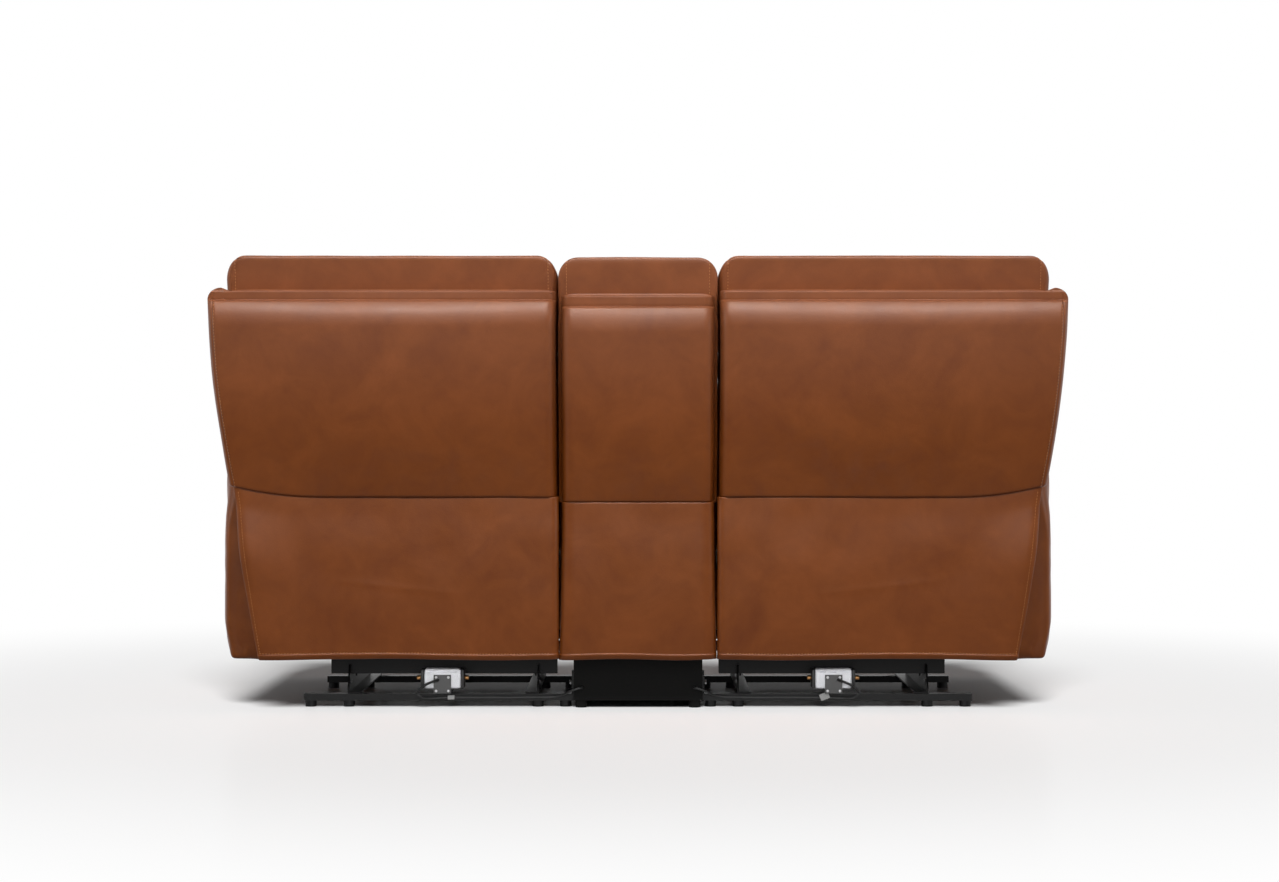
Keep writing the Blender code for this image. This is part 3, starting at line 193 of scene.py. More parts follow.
def seenDirectly(tree):  # 1 for the camera, mirrors and glass, 0 for light that only bounces
    path = addNode(tree, "ShaderNodeLightPath")
    first = addNode(tree, "ShaderNodeMath", {"operation": "MAXIMUM"},
                    {0: path.outputs["Is Camera Ray"], 1: path.outputs["Is Transmission Ray"]})
    return addNode(tree, "ShaderNodeMath", {"operation": "MAXIMUM"},
                   {0: first.outputs[0], 1: path.outputs["Is Glossy Ray"]}).outputs[0]


def setUpStage():
    scene.view_settings.view_transform = "Standard"
    world = bpy.data.worlds.new("studio")
    world.use_nodes = True
    scene.world = world
    tree = world.node_tree
    strength = addNode(tree, "ShaderNodeMapRange", None,
                       {"Value": seenDirectly(tree), "To Min": lamps["sky"], "To Max": 1.0})
    tree.links.new(strength.outputs[0], tree.nodes["Background"].inputs["Strength"])
    tree.nodes["Background"].inputs["Color"].default_value = (1, 1, 1, 1)
    lit = [addSun(name, **settings) for name, settings in lamps["suns"].items()]
    lit += [addSoftbox(name, **settings) for name, settings in lamps["boxes"].items()]
    shape = bmesh.new()
    bmesh.ops.create_grid(shape, x_segments=1, y_segments=1, size=studioFloor["half"])
    mesh = bpy.data.meshes.new("floor")
    shape.to_mesh(mesh)
    shape.free()
    floor = bpy.data.objects.new("floor", mesh)
    scene.collection.objects.link(floor)
    # satin white studio floor: it keeps the shadow and a weak mirror image, and fades to the white
    # background away from the sofa; it bounces less light than it shows
    s = studioFloor
    material, tree, shader = newMaterial("satinStudioFloor")
    seen = seenDirectly(tree)
    colour = addNode(tree, "ShaderNodeMix", {"data_type": "RGBA"})
    tree.links.new(seen, colour.inputs["Factor"])
    colour.inputs[6].default_value = linear(s["bounce"])
    colour.inputs[7].default_value = linear(s["colour"])
    tree.links.new(colour.outputs[2], shader.inputs["Base Color"])
    shader.inputs["Specular IOR Level"].default_value = 0.0
    mirror = addNode(tree, "ShaderNodeBsdfGlossy", None, {"Roughness": s["roughness"]})
    satin = addNode(tree, "ShaderNodeMixShader", None, {
        0: s["mirror"], 1: shader.outputs[0], 2: mirror.outputs[0]})
    place = addNode(tree, "ShaderNodeTexCoord").outputs["Object"]
    away = addNode(tree, "ShaderNodeVectorMath", {"operation": "LENGTH"}, {0: place})
    fade = addNode(tree, "ShaderNodeMapRange", {"interpolation_type": "SMOOTHSTEP"}, {
        "Value": away.outputs["Value"], "From Min": s["whiteFrom"], "From Max": s["whiteTo"]})
    share = addNode(tree, "ShaderNodeMath", {"operation": "MULTIPLY"}, {0: fade.outputs[0], 1: seen})
    white = addNode(tree, "ShaderNodeEmission", None, {"Color": (1, 1, 1, 1), "Strength": 1.0})
    both = addNode(tree, "ShaderNodeMixShader", None, {
        0: share.outputs[0], 1: satin.outputs[0], 2: white.outputs[0]})
    tree.links.new(both.outputs[0], tree.nodes["Material Output"].inputs["Surface"])
    mesh.materials.append(material)
    for lamp in lit:  # the floor has a sun of its own, and the other lamps leave it alone
        group = bpy.data.collections.new(f"{lamp.name}Receivers")
        group.objects.link(floor)
        state = "INCLUDE" if lamp.name == "floorSun" else "EXCLUDE"
        group.collection_objects[0].light_linking.link_state = state
        lamp.light_linking.receiver_collection = group


setUpCamera()
setUpStage()
print("stage: camera, light and floor")


# finishes; widths are in millimetres

# its second line holds the painted sheen: a grey added to the hide's colour towards the top, and the heights
# it rises between
hide = dict(dark="#632f0c", middle="#6f3811", light="#7b4018", stops=(0.28, 0.50, 0.74), cloud=120, fleck=34,
            fleckShare=0.22, paintedSheen="#1d1d1d", paintedSheenFrom=0.60, paintedSheenTo=0.92, waxed=(0.34, 0.43),
            gloss=0.22, pebble=3.0, crease=11, slack=85)


def makeLeather():
    # Pull-up cowhide, drum dyed and waxed: cloudy caramel brown, with a painted sheen (a grey added towards
    # the top that stands in for gloss from above), a pebbled grain about 1.5 mm wide drawn at 3 mm so that
    # it shows, and a satin wax gloss.
    s = hide
    material, tree, shader = newMaterial("pullUpLeather")
    place = addNode(tree, "ShaderNodeTexCoord").outputs["Object"]
    clouds = addNode(tree, "ShaderNodeTexNoise", None, {
        "Vector": place, "Scale": 1000 / s["cloud"], "Detail": 6.0, "Roughness": 0.62, "Distortion": 0.7})
    flecks = addNode(tree, "ShaderNodeTexNoise", None, {
        "Vector": place, "Scale": 1000 / s["fleck"], "Detail": 4.0, "Roughness": 0.62})
    tone = addNode(tree, "ShaderNodeMix", {"data_type": "FLOAT"}, {
        "Factor": s["fleckShare"], "A": clouds.outputs["Fac"], "B": flecks.outputs["Fac"]})
    ramp = addNode(tree, "ShaderNodeValToRGB", None, {"Fac": tone.outputs[0]})
    stops = ramp.color_ramp.elements
    first, second, third = s["stops"]
    stops[0].position, stops[0].color = first, linear(s["dark"])
    stops[1].position, stops[1].color = third, linear(s["light"])
    stops.new(second).color = linear(s["middle"])
    # painted sheen: a flat grey is added to the hide's colour, rising with height from 0.60 m to 0.92 m
    height = addNode(tree, "ShaderNodeSeparateXYZ", None, {"Vector": place})
    paintedSheen = addNode(tree, "ShaderNodeMapRange", {"interpolation_type": "SMOOTHSTEP"}, {
        "Value": height.outputs["Z"], "From Min": s["paintedSheenFrom"], "From Max": s["paintedSheenTo"]})
    colour = addNode(tree, "ShaderNodeMix", {"data_type": "RGBA", "blend_type": "ADD"})
    tree.links.new(paintedSheen.outputs[0], colour.inputs["Factor"])
    tree.links.new(ramp.outputs["Color"], colour.inputs[6])
    colour.inputs[7].default_value = linear(s["paintedSheen"])
    tree.links.new(colour.outputs[2], shader.inputs["Base Color"])
    wax = addNode(tree, "ShaderNodeMapRange", None, {
        "Value": flecks.outputs["Fac"], "From Min": 0.3, "From Max": 0.7,
        "To Min": s["waxed"][0], "To Max": s["waxed"][1]})
    tree.links.new(wax.outputs[0], shader.inputs["Roughness"])
    shader.inputs["IOR"].default_value = 1.46
    shader.inputs["Specular IOR Level"].default_value = s["gloss"]
    shader.inputs["Specular Tint"].default_value = (1.0, 0.95, 0.90, 1.0)
    pebbles = addNode(tree, "ShaderNodeTexVoronoi", {"feature": "SMOOTH_F1"}, {
        "Vector": place, "Scale": 1000 / s["pebble"], "Smoothness": 0.6})
    creases = addNode(tree, "ShaderNodeTexNoise", None, {
        "Vector": place, "Scale": 1000 / s["crease"], "Detail": 5.0, "Roughness": 0.7, "Distortion": 0.8})
    slack = addNode(tree, "ShaderNodeTexNoise", None, {
        "Vector": place, "Scale": 1000 / s["slack"], "Detail": 2.0, "Roughness": 0.45})
    grain = addNode(tree, "ShaderNodeBump", None, {
        "Strength": 0.16, "Distance": 0.0006, "Height": pebbles.outputs["Distance"]})
    folds = addNode(tree, "ShaderNodeBump", None, {
        "Strength": 0.10, "Distance": 0.0012, "Height": creases.outputs["Fac"], "Normal": grain.outputs[0]})
    swells = addNode(tree, "ShaderNodeBump", None, {
        "Strength": 0.10, "Distance": 0.008, "Height": slack.outputs["Fac"], "Normal": folds.outputs[0]})
    tree.links.new(swells.outputs[0], shader.inputs["Normal"])
    return material


def makeFinish(name, dark, light, roughness, width, detail=3.0, stops=(0.35, 0.7), gloss=0.5,
               lay=(1.0, 1.0, 1.0), twist=0.0, metallic=0.0, relief=(0.15, 0.0004)):
    # two close tones in a fine pattern; a lay below 1 draws the pattern out along that axis
    material, tree, shader = newMaterial(name)
    place = addNode(tree, "ShaderNodeTexCoord").outputs["Object"]
    along = addNode(tree, "ShaderNodeMapping", None, {"Vector": place, "Scale": lay})
    pattern = addNode(tree, "ShaderNodeTexNoise", None, {
        "Vector": along.outputs[0], "Scale": 1000 / width, "Detail": detail, "Distortion": twist})
    ramp = addNode(tree, "ShaderNodeValToRGB", None, {"Fac": pattern.outputs["Fac"]})
    for stop, at, colour in zip(ramp.color_ramp.elements, stops, (dark, light)):
        stop.position, stop.color = at, linear(colour)
    tree.links.new(ramp.outputs["Color"], shader.inputs["Base Color"])
    for socket, value in (("Metallic", metallic), ("Roughness", roughness), ("Specular IOR Level", gloss)):
        shader.inputs[socket].default_value = value
    if relief:
        bump = addNode(tree, "ShaderNodeBump", None, {
            "Strength": relief[0], "Distance": relief[1], "Height": pattern.outputs["Fac"]})
        tree.links.new(bump.outputs[0], shader.inputs["Normal"])
    return material


leather = makeLeather()
# Bonded polyester thread: matt, a little lighter than the hide, with a fine twist.
thread = makeFinish("bondedThread", "#9c6237", "#bb8657", 0.7, 2.5, 2.0, (0.0, 1.0), 0.08, relief=None)
# Powder coat, moulded plastic and paint: one colour, fine orange peel, a dull sheen on the edges.
# the steel's black is darker than black paint is: partly its own colour, partly painted shade for the deep
# shade under the sofa
blackSteel = makeFinish("powderCoatedSteel", "#060606", "#0d0d0d", 0.36, 1.6, gloss=0.14)
blackPlastic = makeFinish("mouldedAbs", "#0f0f0f", "#191919", 0.34, 1.2)
motorCase = makeFinish("greyNylonCase", "#e0e1e6", "#f0f1f3", 0.42, 2.0)
# the plinth's black is darker than black paint is: partly its own colour, partly painted shade for the deep
# shade under the sofa
plinthPaint = makeFinish("blackPaintedPlywood", "#060605", "#0b0a09", 0.6, 6.0, gloss=0.10)
whiteNylon = makeFinish("whiteNylon", "#e6e6e4", "#f4f4f2", 0.5, 2.0)
cableSheath = makeFinish("pvcSheath", "#0b0b0b", "#141414", 0.45, 1.0, gloss=0.25)
# Birch plywood left raw: pale, long grain bands about 9 mm wide across the sheet.
plywood = makeFinish("birchPlywood", "#a8825a", "#d3b184", 0.68, 9, 5.0, (0.0, 1.0),
                     lay=(0.12, 1.0, 1.0), twist=0.6, relief=(0.2, 0.0005))
# Bright metal with a brushed lay about 1 mm wide, drawn along X.
brushed = dict(width=1.0, stops=(0.0, 1.0), lay=(0.05, 1.0, 1.0), metallic=1.0, relief=(0.12, 0.0003))
brightSteel = makeFinish("brushedSteel", "#9b9b9c", "#cfcfd0", 0.3, **brushed)
brass = makeFinish("turnedBrass", "#7d5a38", "#b08558", 0.32, **brushed)
print("finishes: leather, thread, metals, plastics and wood")


# mesh making

def finishMesh(name, shape, material):
    if shape.calc_volume(signed=True) < 0:
        bmesh.ops.reverse_faces(shape, faces=shape.faces)
    mesh = bpy.data.meshes.new(name)
    shape.to_mesh(mesh)
    shape.free()
    mesh.shade_smooth()
    obj = bpy.data.objects.new(name, mesh)
    scene.collection.objects.link(obj)
    mesh.materials.append(material)
    return obj


cutSpots = {}  # where each point of a cut block lay among its marks, for the sewn lines


def cutBlock(name, rows, place, material=leather):  # a cube cut along three rows of marks
    shape = bmesh.new()
    bmesh.ops.create_cube(shape, size=2)
    for axis, row in enumerate(rows):
        edges = [e for e in shape.edges if abs(e.verts[0].co[axis] - e.verts[1].co[axis]) > 1]
        if len(row) > 2:
            bmesh.ops.subdivide_edges(shape, edges=edges, cuts=len(row) - 2, use_grid_fill=True)
    cutSpots[name] = []
    for vert in shape.verts:
        spot = [row[round((c + 1) / 2 * (len(row) - 1))] for c, row in zip(vert.co, rows)]
        vert.co = place(*spot)
        cutSpots[name].append(spot)
    return finishMesh(name, shape, material)


def takeShape(obj):  # the modifiers' result becomes the mesh
    graph = bpy.context.evaluated_depsgraph_get()
    made = bpy.data.meshes.new_from_object(obj.evaluated_get(graph))
    obj.modifiers.clear()
    obj.data = made
    made.shade_smooth()


def refine(obj, levels=1):
    step = obj.modifiers.new("refine", "SUBSURF")
    step.levels = step.render_levels = levels
    takeShape(obj)


stuffing = dict(slack=0.012, pressure=4.0, frames=20)


def stuff(obj, cap, sideways=1.0, rear=1.0):  # blows the cover up like a filled cushion
    rest = [v.co.copy() for v in obj.data.vertices]
    step = obj.modifiers.new("stuffing", "CLOTH")
    cloth = step.settings
    cloth.quality = 4
    cloth.mass = 0.4
    cloth.tension_stiffness = cloth.compression_stiffness = 14
    cloth.shear_stiffness = 6
    cloth.bending_stiffness = 2.0
    cloth.use_pressure = True
    cloth.uniform_pressure_force = stuffing["pressure"]
    cloth.shrink_min = -stuffing["slack"]
    cloth.effector_weights.gravity = 0
    step.collision_settings.use_collision = False
    step.point_cache.frame_start, step.point_cache.frame_end = 1, stuffing["frames"]
    for number in range(1, stuffing["frames"] + 1):
        scene.frame_set(number)
    graph = bpy.context.evaluated_depsgraph_get()
    blown = [v.co.copy() for v in obj.evaluated_get(graph).data.vertices]
    obj.modifiers.clear()
    scene.frame_set(1)
    deep = max(spot[1] for spot in cutSpots[obj.name])
    for vert, start, end, spot in zip(obj.data.vertices, rest, blown, cutSpots[obj.name]):
        move = end - start
        move.x *= sideways  # none where the cushion sits tight between its neighbours
        share = between(1.0, rear, ease(0.8 + spot[1] / deep))
        vert.co = start + move * share * min(1.0, cap / max(move.length, 1e-9))


def mirrored(obj, name):
    copy = bpy.data.objects.new(name, obj.data.copy())
    scene.collection.objects.link(copy)
    shape = bmesh.new()
    shape.from_mesh(copy.data)
    bmesh.ops.scale(shape, vec=(-1, 1, 1), verts=shape.verts)
    bmesh.ops.reverse_faces(shape, faces=shape.faces)
    shape.to_mesh(copy.data)
    shape.free()
    return copy


def uneven(obj, height, size, seed, sideways=1.0):  # slow swells of foam under the hide
    shape = bmesh.new()
    shape.from_mesh(obj.data)
    shape.normal_update()
    moves = [v.normal * (height * ripple(v.co.x + seed, v.co.y, v.co.z, size)) for v in shape.verts]
    for vert, move in zip(shape.verts, moves):
        vert.co += Vector((move.x * sideways, move.y, move.z))
    shape.to_mesh(obj.data)
    shape.free()


def pinch(obj, depth):  # draws sewn lines into a filled cover
    shape = bmesh.new()
    shape.from_mesh(obj.data)
    shape.normal_update()
    moves = [v.normal * -depth(*spot) for v, spot in zip(shape.verts, cutSpots[obj.name])]
    for vert, move in zip(shape.verts, moves):
        vert.co += move
    shape.to_mesh(obj.data)
    shape.free()


def sewnMarks(row, seams, near=0.012):  # closer cuts on both sides of each sewn line
    kept = [mark for mark in row if all(abs(mark - seam) > near * 1.3 for seam in seams)]
    steps = (-1, -0.5, -0.2, 0, 0.2, 0.5, 1)
    return sorted(kept + [seam + near * step for seam in seams for step in steps])


def roundedPoint(spot, half, radii):  # a point of a box, drawn in to edges rounded by three radii
    core = Vector([min(h - r, max(r - h, c)) for c, h, r in zip(spot, half, radii)])
    out = Vector([(c - k) / r for c, k, r in zip(spot, core, radii)])
    if out.length < 1e-9:
        return Vector(spot)
    out.normalize()
    return core + Vector([o * r for o, r in zip(out, radii)])


def dress(obj, body, replaced=(), fill=None):
    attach(obj, body)
    if replaced:
        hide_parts(*replaced)


# stitching: short capsules of thread laid along rays cast onto a finished cover

stitch = dict(pitch=0.0072, length=0.0050, width=0.0014, height=0.0012, lift=0.0001)


def sew(rows, host, rays):
    graph = bpy.context.evaluated_depsgraph_get()
    tree = BVHTree.FromObject(host, graph)
    hits = [tree.ray_cast(Vector(start), Vector(way).normalized())[:2] for start, way in rays]
    hits = [hit for hit in hits if hit[0] is not None]
    walked = 0.0
    for (a, normal), (b, nextNormal) in zip(hits, hits[1:]):
        step = b - a
        while walked < step.length:
            share = walked / step.length
            out = between(normal, nextNormal, share).normalized()
            way = step.normalized()
            side = out.cross(way).normalized()
            turn = Matrix((way, side, out)).transposed().to_4x4()
            size = Matrix.Diagonal((stitch["length"] / 2, stitch["width"] / 2, stitch["height"] / 2, 1))
            spot = Matrix.Translation(a + step * share + out * stitch["lift"])
            bmesh.ops.create_icosphere(rows, subdivisions=1, radius=1.0, matrix=spot @ turn @ size)
            walked += stitch["pitch"]
        walked -= step.length


def around(axis, at, centre, start, end, count=120):  # rays towards a line, by angle in degrees
    first, second = [other for other in range(3) if other != axis]
    rays = []
    for number in range(count + 1):
        angle = math.radians(between(start, end, number / count))
        way, spot = Vector((0, 0, 0)), Vector((0, 0, 0))
        way[first], way[second] = math.cos(angle), math.sin(angle)
        spot[axis], spot[first], spot[second] = at, *centre
        rays.append((spot + way * 1.5, -way))
    return rays


def line(start, end, way, count=60):  # rays from points on a straight line, all one way
    start, end = Vector(start), Vector(end)
    return [(start.lerp(end, number / count), way) for number in range(count + 1)]


# outside backs: a flat strip along the top, a crease, then a padded roll, and a wing round the outer corner

panel = dict(top=0.974, thick=0.044, crown=0.013, strip=0.0215, stripTop=0.0200, stripIn=0.0185,
             stripRound=0.0025, creaseIn=0.0205, ledge=0.010, ledgeRound=0.004, roll=0.062, rollOut=0.010,
             innerRound=0.026, innerDrop=0.026, lowRun=0.22, lowDrop=0.009, wingCorner=0.022,
             wingThick=0.032, wingTip=0.008, tipFrom=0.944, tipAt=0.954, wingDrop=0.030, wingNose=0.050,
             wingLeg=0.046, wingReach=0.074, wingFrom=0.6015, wingRun=0.15, insideCorner=0.006,
             grooveAt=0.30, grooveWide=0.07, grooveDeep=0.0024, grooveFrom=0.03, noseShare=0.25,
             nosePinch=0.4)


def stripAndRoll(down, s):  # how far the cover stands off the rear plane, by distance below the top edge
    soft = s["strip"] * 0.86
    if down < soft:
        rounding = s["stripRound"] * (1 - quarterRound(down / s["stripRound"]))
        return -between(s["stripTop"], s["stripIn"], max(0.0, down) / soft) - rounding
    if down < s["strip"]:
        return -between(s["stripIn"], s["creaseIn"], ease((down - soft) / (s["strip"] - soft)))
    below = down - s["strip"]
    ledge = s["ledge"] * quarterRound(below / s["ledgeRound"])
    swell = s["creaseIn"] + s["rollOut"] - s["ledge"]
    return -s["creaseIn"] + ledge + swell * (1 - max(0.0, 1 - below / s["roll"]) ** 2)


def panelPoint(u, w, v):  # u: 0 to 1 flat, to 2 round the corner, to 3 along the wing; w: front to rear
    s = panel
    flat, bend, leg = min(u, 1.0), min(max(u - 1, 0.0), 1.0), max(u - 2, 0.0)
    low = seamLine(between(back["inner"], back["wingLow"] - s["wingCorner"], flat) + s["wingCorner"] * bend)
    outermost = wingEdge(s["top"])
    angle = bend * math.pi / 2
    across = between(back["inner"], outermost - s["wingCorner"], flat) + s["wingCorner"] * math.sin(angle)
    high = s["top"] + s["wingTip"] * w * ease((across - s["tipFrom"]) / (s["tipAt"] - s["tipFrom"]))
    high -= s["wingDrop"] * (1 - quarterRound((outermost - across) / (outermost - s["tipAt"])))
    high -= s["wingNose"] * leg * leg
    z = between(low, high, v)
    down, up = s["top"] - z, z - low
    reach = s["wingLeg"] + s["wingReach"] * ease((z - s["wingFrom"]) / s["wingRun"])
    edge = wingEdge(z)
    inside = flat * (edge - s["wingCorner"] - back["inner"])
    out = stripAndRoll(down, s) + s["crown"] * 4 * flat * (1 - flat) * math.sin(math.pi * v)
    out -= s["innerDrop"] * (1 - quarterRound(inside / s["innerRound"]))
    out -= s["lowDrop"] * max(0.0, 1 - up / s["lowRun"]) ** 2
    out *= 1 - ease(bend)
    groove = s["grooveDeep"] * ridge(bend, s["grooveAt"], s["grooveWide"]) * ease(down / s["grooveFrom"])
    nose = s["nosePinch"] * (1 - quarterRound((1 - leg) / s["noseShare"]))
    points = []
    for corner, side, off, far, pinch, cut in (
            (s["insideCorner"], edge - s["wingThick"], -s["thick"],
             reach + s["wingCorner"] - s["thick"] - s["insideCorner"], nose, 0.0),
            (s["wingCorner"], edge, out, reach, -nose, groove)):
        x = between(back["inner"], side - corner, flat) + (corner - cut) * math.sin(angle)
        x += pinch * s["wingThick"]
        y = rearPlane(z) + off - corner + (corner - cut) * math.cos(angle) - far * leg
        points.append(Vector((x, y, z)))
    return points[0].lerp(points[1], w)


def makeOutsideBacks():
    rows = (marks((0, 0.045, 8), (0.045, 0.94, 46), (0.94, 1.0, 16), (1, 1.15, 2),
                  (1.15, 1.45, 6), (1.45, 2, 4), (2, 3, 9)),
            [0, 0.5, 1],
            marks((0, 0.13, 9), (0.13, 0.79, 26), (0.79, 0.93, 13), (0.93, 0.965, 9), (0.965, 1, 9)))
    left = cutBlock("leftOutsideBack", rows, panelPoint)
    refine(left)
    right = mirrored(left, "rightOutsideBack")
    for seed, (word, obj) in enumerate((("left", left), ("right", right))):
        uneven(obj, 0.0016, 0.16, 3.0 * seed)
        dress(obj, f"{word}_back", [f"{word}_outside_back"], fill=0.8)
    return {"left": left, "right": right}


outsideBacks = makeOutsideBacks()
print("outside backs")


# flaps: one thickness of hide with a folded hem, sewn under the outside back and hanging to the floor frame

flap = dict(thick=0.005, bottom=0.1215, y=0.4016, lap=0.0036, lapUp=0.003, leadHigh=0.055, fold=0.0034,
            foldHigh=0.004, belly=0.003, edgeTop=0.936, edgeBottom=0.887, corner=0.050,
            turn=math.radians(24), swell=0.020, swellHigh=0.18, swellFrom=0.80, swellRun=0.18, inner=0.1858,
            innerCorner=0.016, innerTurn=math.radians(84), wave=0.0018, foldOut=0.0028, foldSize=0.11,
            crease=0.0008, creaseZ=0.302, creaseX=0.66, creaseSlope=0.11, creaseWide=0.006, tuck=0.016,
            blendFrom=0.30, blendTo=0.49, cut=(0.79, 0.388))
hem = dict(up=0.0145, lip=0.0016, lipHigh=0.0030, turnIn=0.0045)  # a folded lip under the stitched line


def hemOut(up):  # how far the hem stands off its flap, by height above the lower edge
    below = hem["up"] - up
    turned = hem["turnIn"] * ease((below - hem["lipHigh"]) / hem["up"])
    return hem["lip"] * ease(below / hem["lipHigh"]) - turned


def flapPoint(u, w, v):  # u: across from the console's side round to the wing, w: inside to outside, v: up
    s = flap
    guess = between(s["inner"], s["edgeTop"], u)
    seam = seamLine(guess)
    high = seam + s["lapUp"]
    low = s["bottom"] + s["wave"] * math.sin(guess * 11 + 0.8)
    z = between(low, high, v)
    down = (high - z) / (high - low)
    first = s["inner"] + s["innerCorner"]
    last = between(s["edgeTop"], s["edgeBottom"], down) - s["corner"] * math.sin(s["turn"])
    run = between(first - s["innerCorner"] * s["innerTurn"], last + s["corner"] * s["turn"], u)
    lead = rearPlane(seam) - panel["lowDrop"] + s["lap"] - s["y"]  # laps over the outside back's lower edge
    out = lead * (1 - ease((high - z) / s["leadHigh"])) - s["tuck"] * down * down
    out -= s["fold"] * (1 - quarterRound((high - z) / s["foldHigh"]))
    out += s["belly"] * math.sin(math.pi * down)
    swell = s["swell"] * ease((u - s["swellFrom"]) / s["swellRun"])
    out += swell * ease((high - z) / s["swellHigh"]) * (1 - 0.8 * down)
    folds = ripple(run * 1.2, 0, z * 0.8 - run * 0.25, s["foldSize"])
    out += s["foldOut"] * folds * math.sin(math.pi * min(1.0, down * 1.6))
    crease = ridge(z - s["creaseZ"] + s["creaseSlope"] * (s["creaseX"] - run), 0.0, s["creaseWide"])
    out += s["crease"] * crease * ease((u - 0.25) / 0.2) * ease((0.8 - u) / 0.2)
    skin = s["thick"] * (w - 0.5)
    out += hemOut(z - low) + skin
    inward, outward = max(0.0, first - run), max(0.0, run - last)
    x = min(max(run, first), last)
    y = s["y"] + out
    if inward:
        angle, radius = inward / s["innerCorner"], s["innerCorner"] + skin
        x, y = x - radius * math.sin(angle), y - radius * (1 - math.cos(angle))
    elif outward:
        angle, radius = outward / s["corner"], s["corner"] + out
        x, y = x + radius * math.sin(angle), s["y"] - s["corner"] + radius * math.cos(angle)
    return Vector((x, y, z))


def hangFlap(obj):  # bakes the flap's placing into its mesh
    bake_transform(obj)


def makeFlaps():
    rows = (marks((0, 0.04, 8), (0.04, 0.80, 40), (0.80, 1, 18)), [0, 1],
            marks((0, 0.030, 5), (0.030, 0.052, 7), (0.052, 0.94, 46), (0.94, 0.984, 4), (0.984, 1, 5)))
    left = cutBlock("leftBackFlap", rows, flapPoint)
    refine(left)
    right = mirrored(left, "rightBackFlap")
    for seed, (word, obj) in enumerate((("left", left), ("right", right))):
        uneven(obj, 0.0012, 0.13, 5.0 + 4.0 * seed)
        hangFlap(obj)
        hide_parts(f"{word}_back_skirt")
    return {"left": left, "right": right}


flaps = makeFlaps()
print("flaps")


# headrests: a roll below, a flatter pad above, and a collar of hide that joins each to the outside back

headrest = dict(roundLow=0.066, rearEdge=0.008, frontEdge=0.045, side=0.014, corner=(0.046, 0.058),
                cap=0.007, crown=0.010, hingeZ=0.881, setback=0.079, depth=0.150, inner=0.1855, outer=0.951,
                seamIn=0.017, seamDeep=0.0012, seamWide=0.004, heel=0.024, heelHigh=0.050)


def headrestPoint(a, b, c):
    s, (low, high), half = headrest, headBox, headHalf
    turn = between(s["roundLow"], s["rearEdge"] if b > 0 else s["frontEdge"], ease((c / half.z + 1) / 2))
    p = roundedPoint((a, b, c), half, (s["side"], turn, turn))
    wide, tall = s["corner"]
    u, v = (abs(a) - half.x + wide) / wide, (c - half.z + tall) / tall
    if u > 0 and v > 0:  # upper corners cut round, as seen from behind
        share = math.atan2(v, u) * 2 / math.pi
        deep, edge = between(wide, tall, share), between(s["side"], turn, share)
        p = roundedPoint((1 - (1 - max(u, v)) * deep, b, 0), (1, half.y, 1), (edge, turn, 0.5))
        pull = (1 - (1 - p.x) / deep) / math.hypot(u, v)
        p.x = math.copysign(half.x - wide + wide * u * pull, a)
        p.z = half.z - tall + tall * v * pull
    z = (low.z + high.z) / 2 + p.z
    y = rearPlane(max(z, s["hingeZ"])) - s["setback"] - half.y + p.y
    dome = (1 - (p.x / half.x) ** 2) * max(0.0, -p.y / half.y) * max(0.0, 1 - (p.z / half.z) ** 2)
    y -= s["crown"] * dome
    heel = s["heel"] * ease((s["hingeZ"] - z) / s["heelHigh"] + 0.5)  # clears the frame on tilting
    y -= heel * max(0.0, p.y / half.y)
    return Vector(((low.x + high.x) / 2 + p.x, y, z))


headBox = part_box("left_headrest")
headBox[0].x, headBox[1].x = headrest["inner"], headrest["outer"]  # close to the console and to the wing
headHalf = (headBox[1] - headBox[0]) / 2
headHalf.y = headrest["depth"] / 2


def headrestGroove(a, b, c):
    s = headrest
    return s["seamDeep"] * ridge(abs(a), headHalf.x - s["seamIn"], s["seamWide"])


def makeHeadrests():
    half, seam = headHalf, headHalf.x - headrest["seamIn"]
    rows = (sewnMarks(edgeMarks(half.x, 0.05, 40, 8), (-seam, seam)),
            edgeMarks(half.y, 0.045, 4, 7), edgeMarks(half.z, 0.06, 8, 9))
    left = cutBlock("leftHeadrest", rows, headrestPoint)
    stuff(left, headrest["cap"], sideways=0.0, rear=0.0)
    pinch(left, headrestGroove)
    refine(left)
    right = mirrored(left, "rightHeadrest")
    for seed, (word, obj) in enumerate((("left", left), ("right", right))):
        uneven(obj, 0.0009, 0.12, 11.0 + 6.0 * seed, sideways=0.0)
        dress(obj, f"{word}_head", [f"{word}_headrest"], fill=0.75)
    return {"left": left, "right": right}


# the padded fold of hide that closes the hinge gap between a headrest and its back cushion
headFold = dict(y=0.312, z=0.803, half=(0.3590, 0.062, 0.046), side=0.008, start=0.785, end=0.835)


def headFoldPoint(a, b, c):
    s = headFold
    p = roundedPoint((a, b, c), s["half"], (s["side"], s["half"][1] * 0.98, s["half"][2] * 0.98))
    return Vector((headrest["inner"] + s["half"][0] + p.x, s["y"] + p.y, s["z"] + p.z))


def makeHeadFolds():
    s = headFold
    rows = [edgeMarks(h, min(0.02, h * 0.5), n, 5) for h, n in zip(s["half"], (24, 5, 5))]
    left = cutBlock("leftHeadrestFold", rows, headFoldPoint)
    refine(left)
    for word, obj in (("left", left), ("right", mirrored(left, "rightHeadrestFold"))):
        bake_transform(obj)


headrests = makeHeadrests()
makeHeadFolds()
print("headrests")


collar = dict(thick=0.0025, rise=0.006, inset=0.010, fade=0.030, tuck=0.003, sink=0.0020, drop=0.0065,
              fineRun=0.04, steps=12)


def collarRun(path):  # length of the hide along the collar's curve
    return sum((b - a).length for a, b in zip(path, path[1:]))


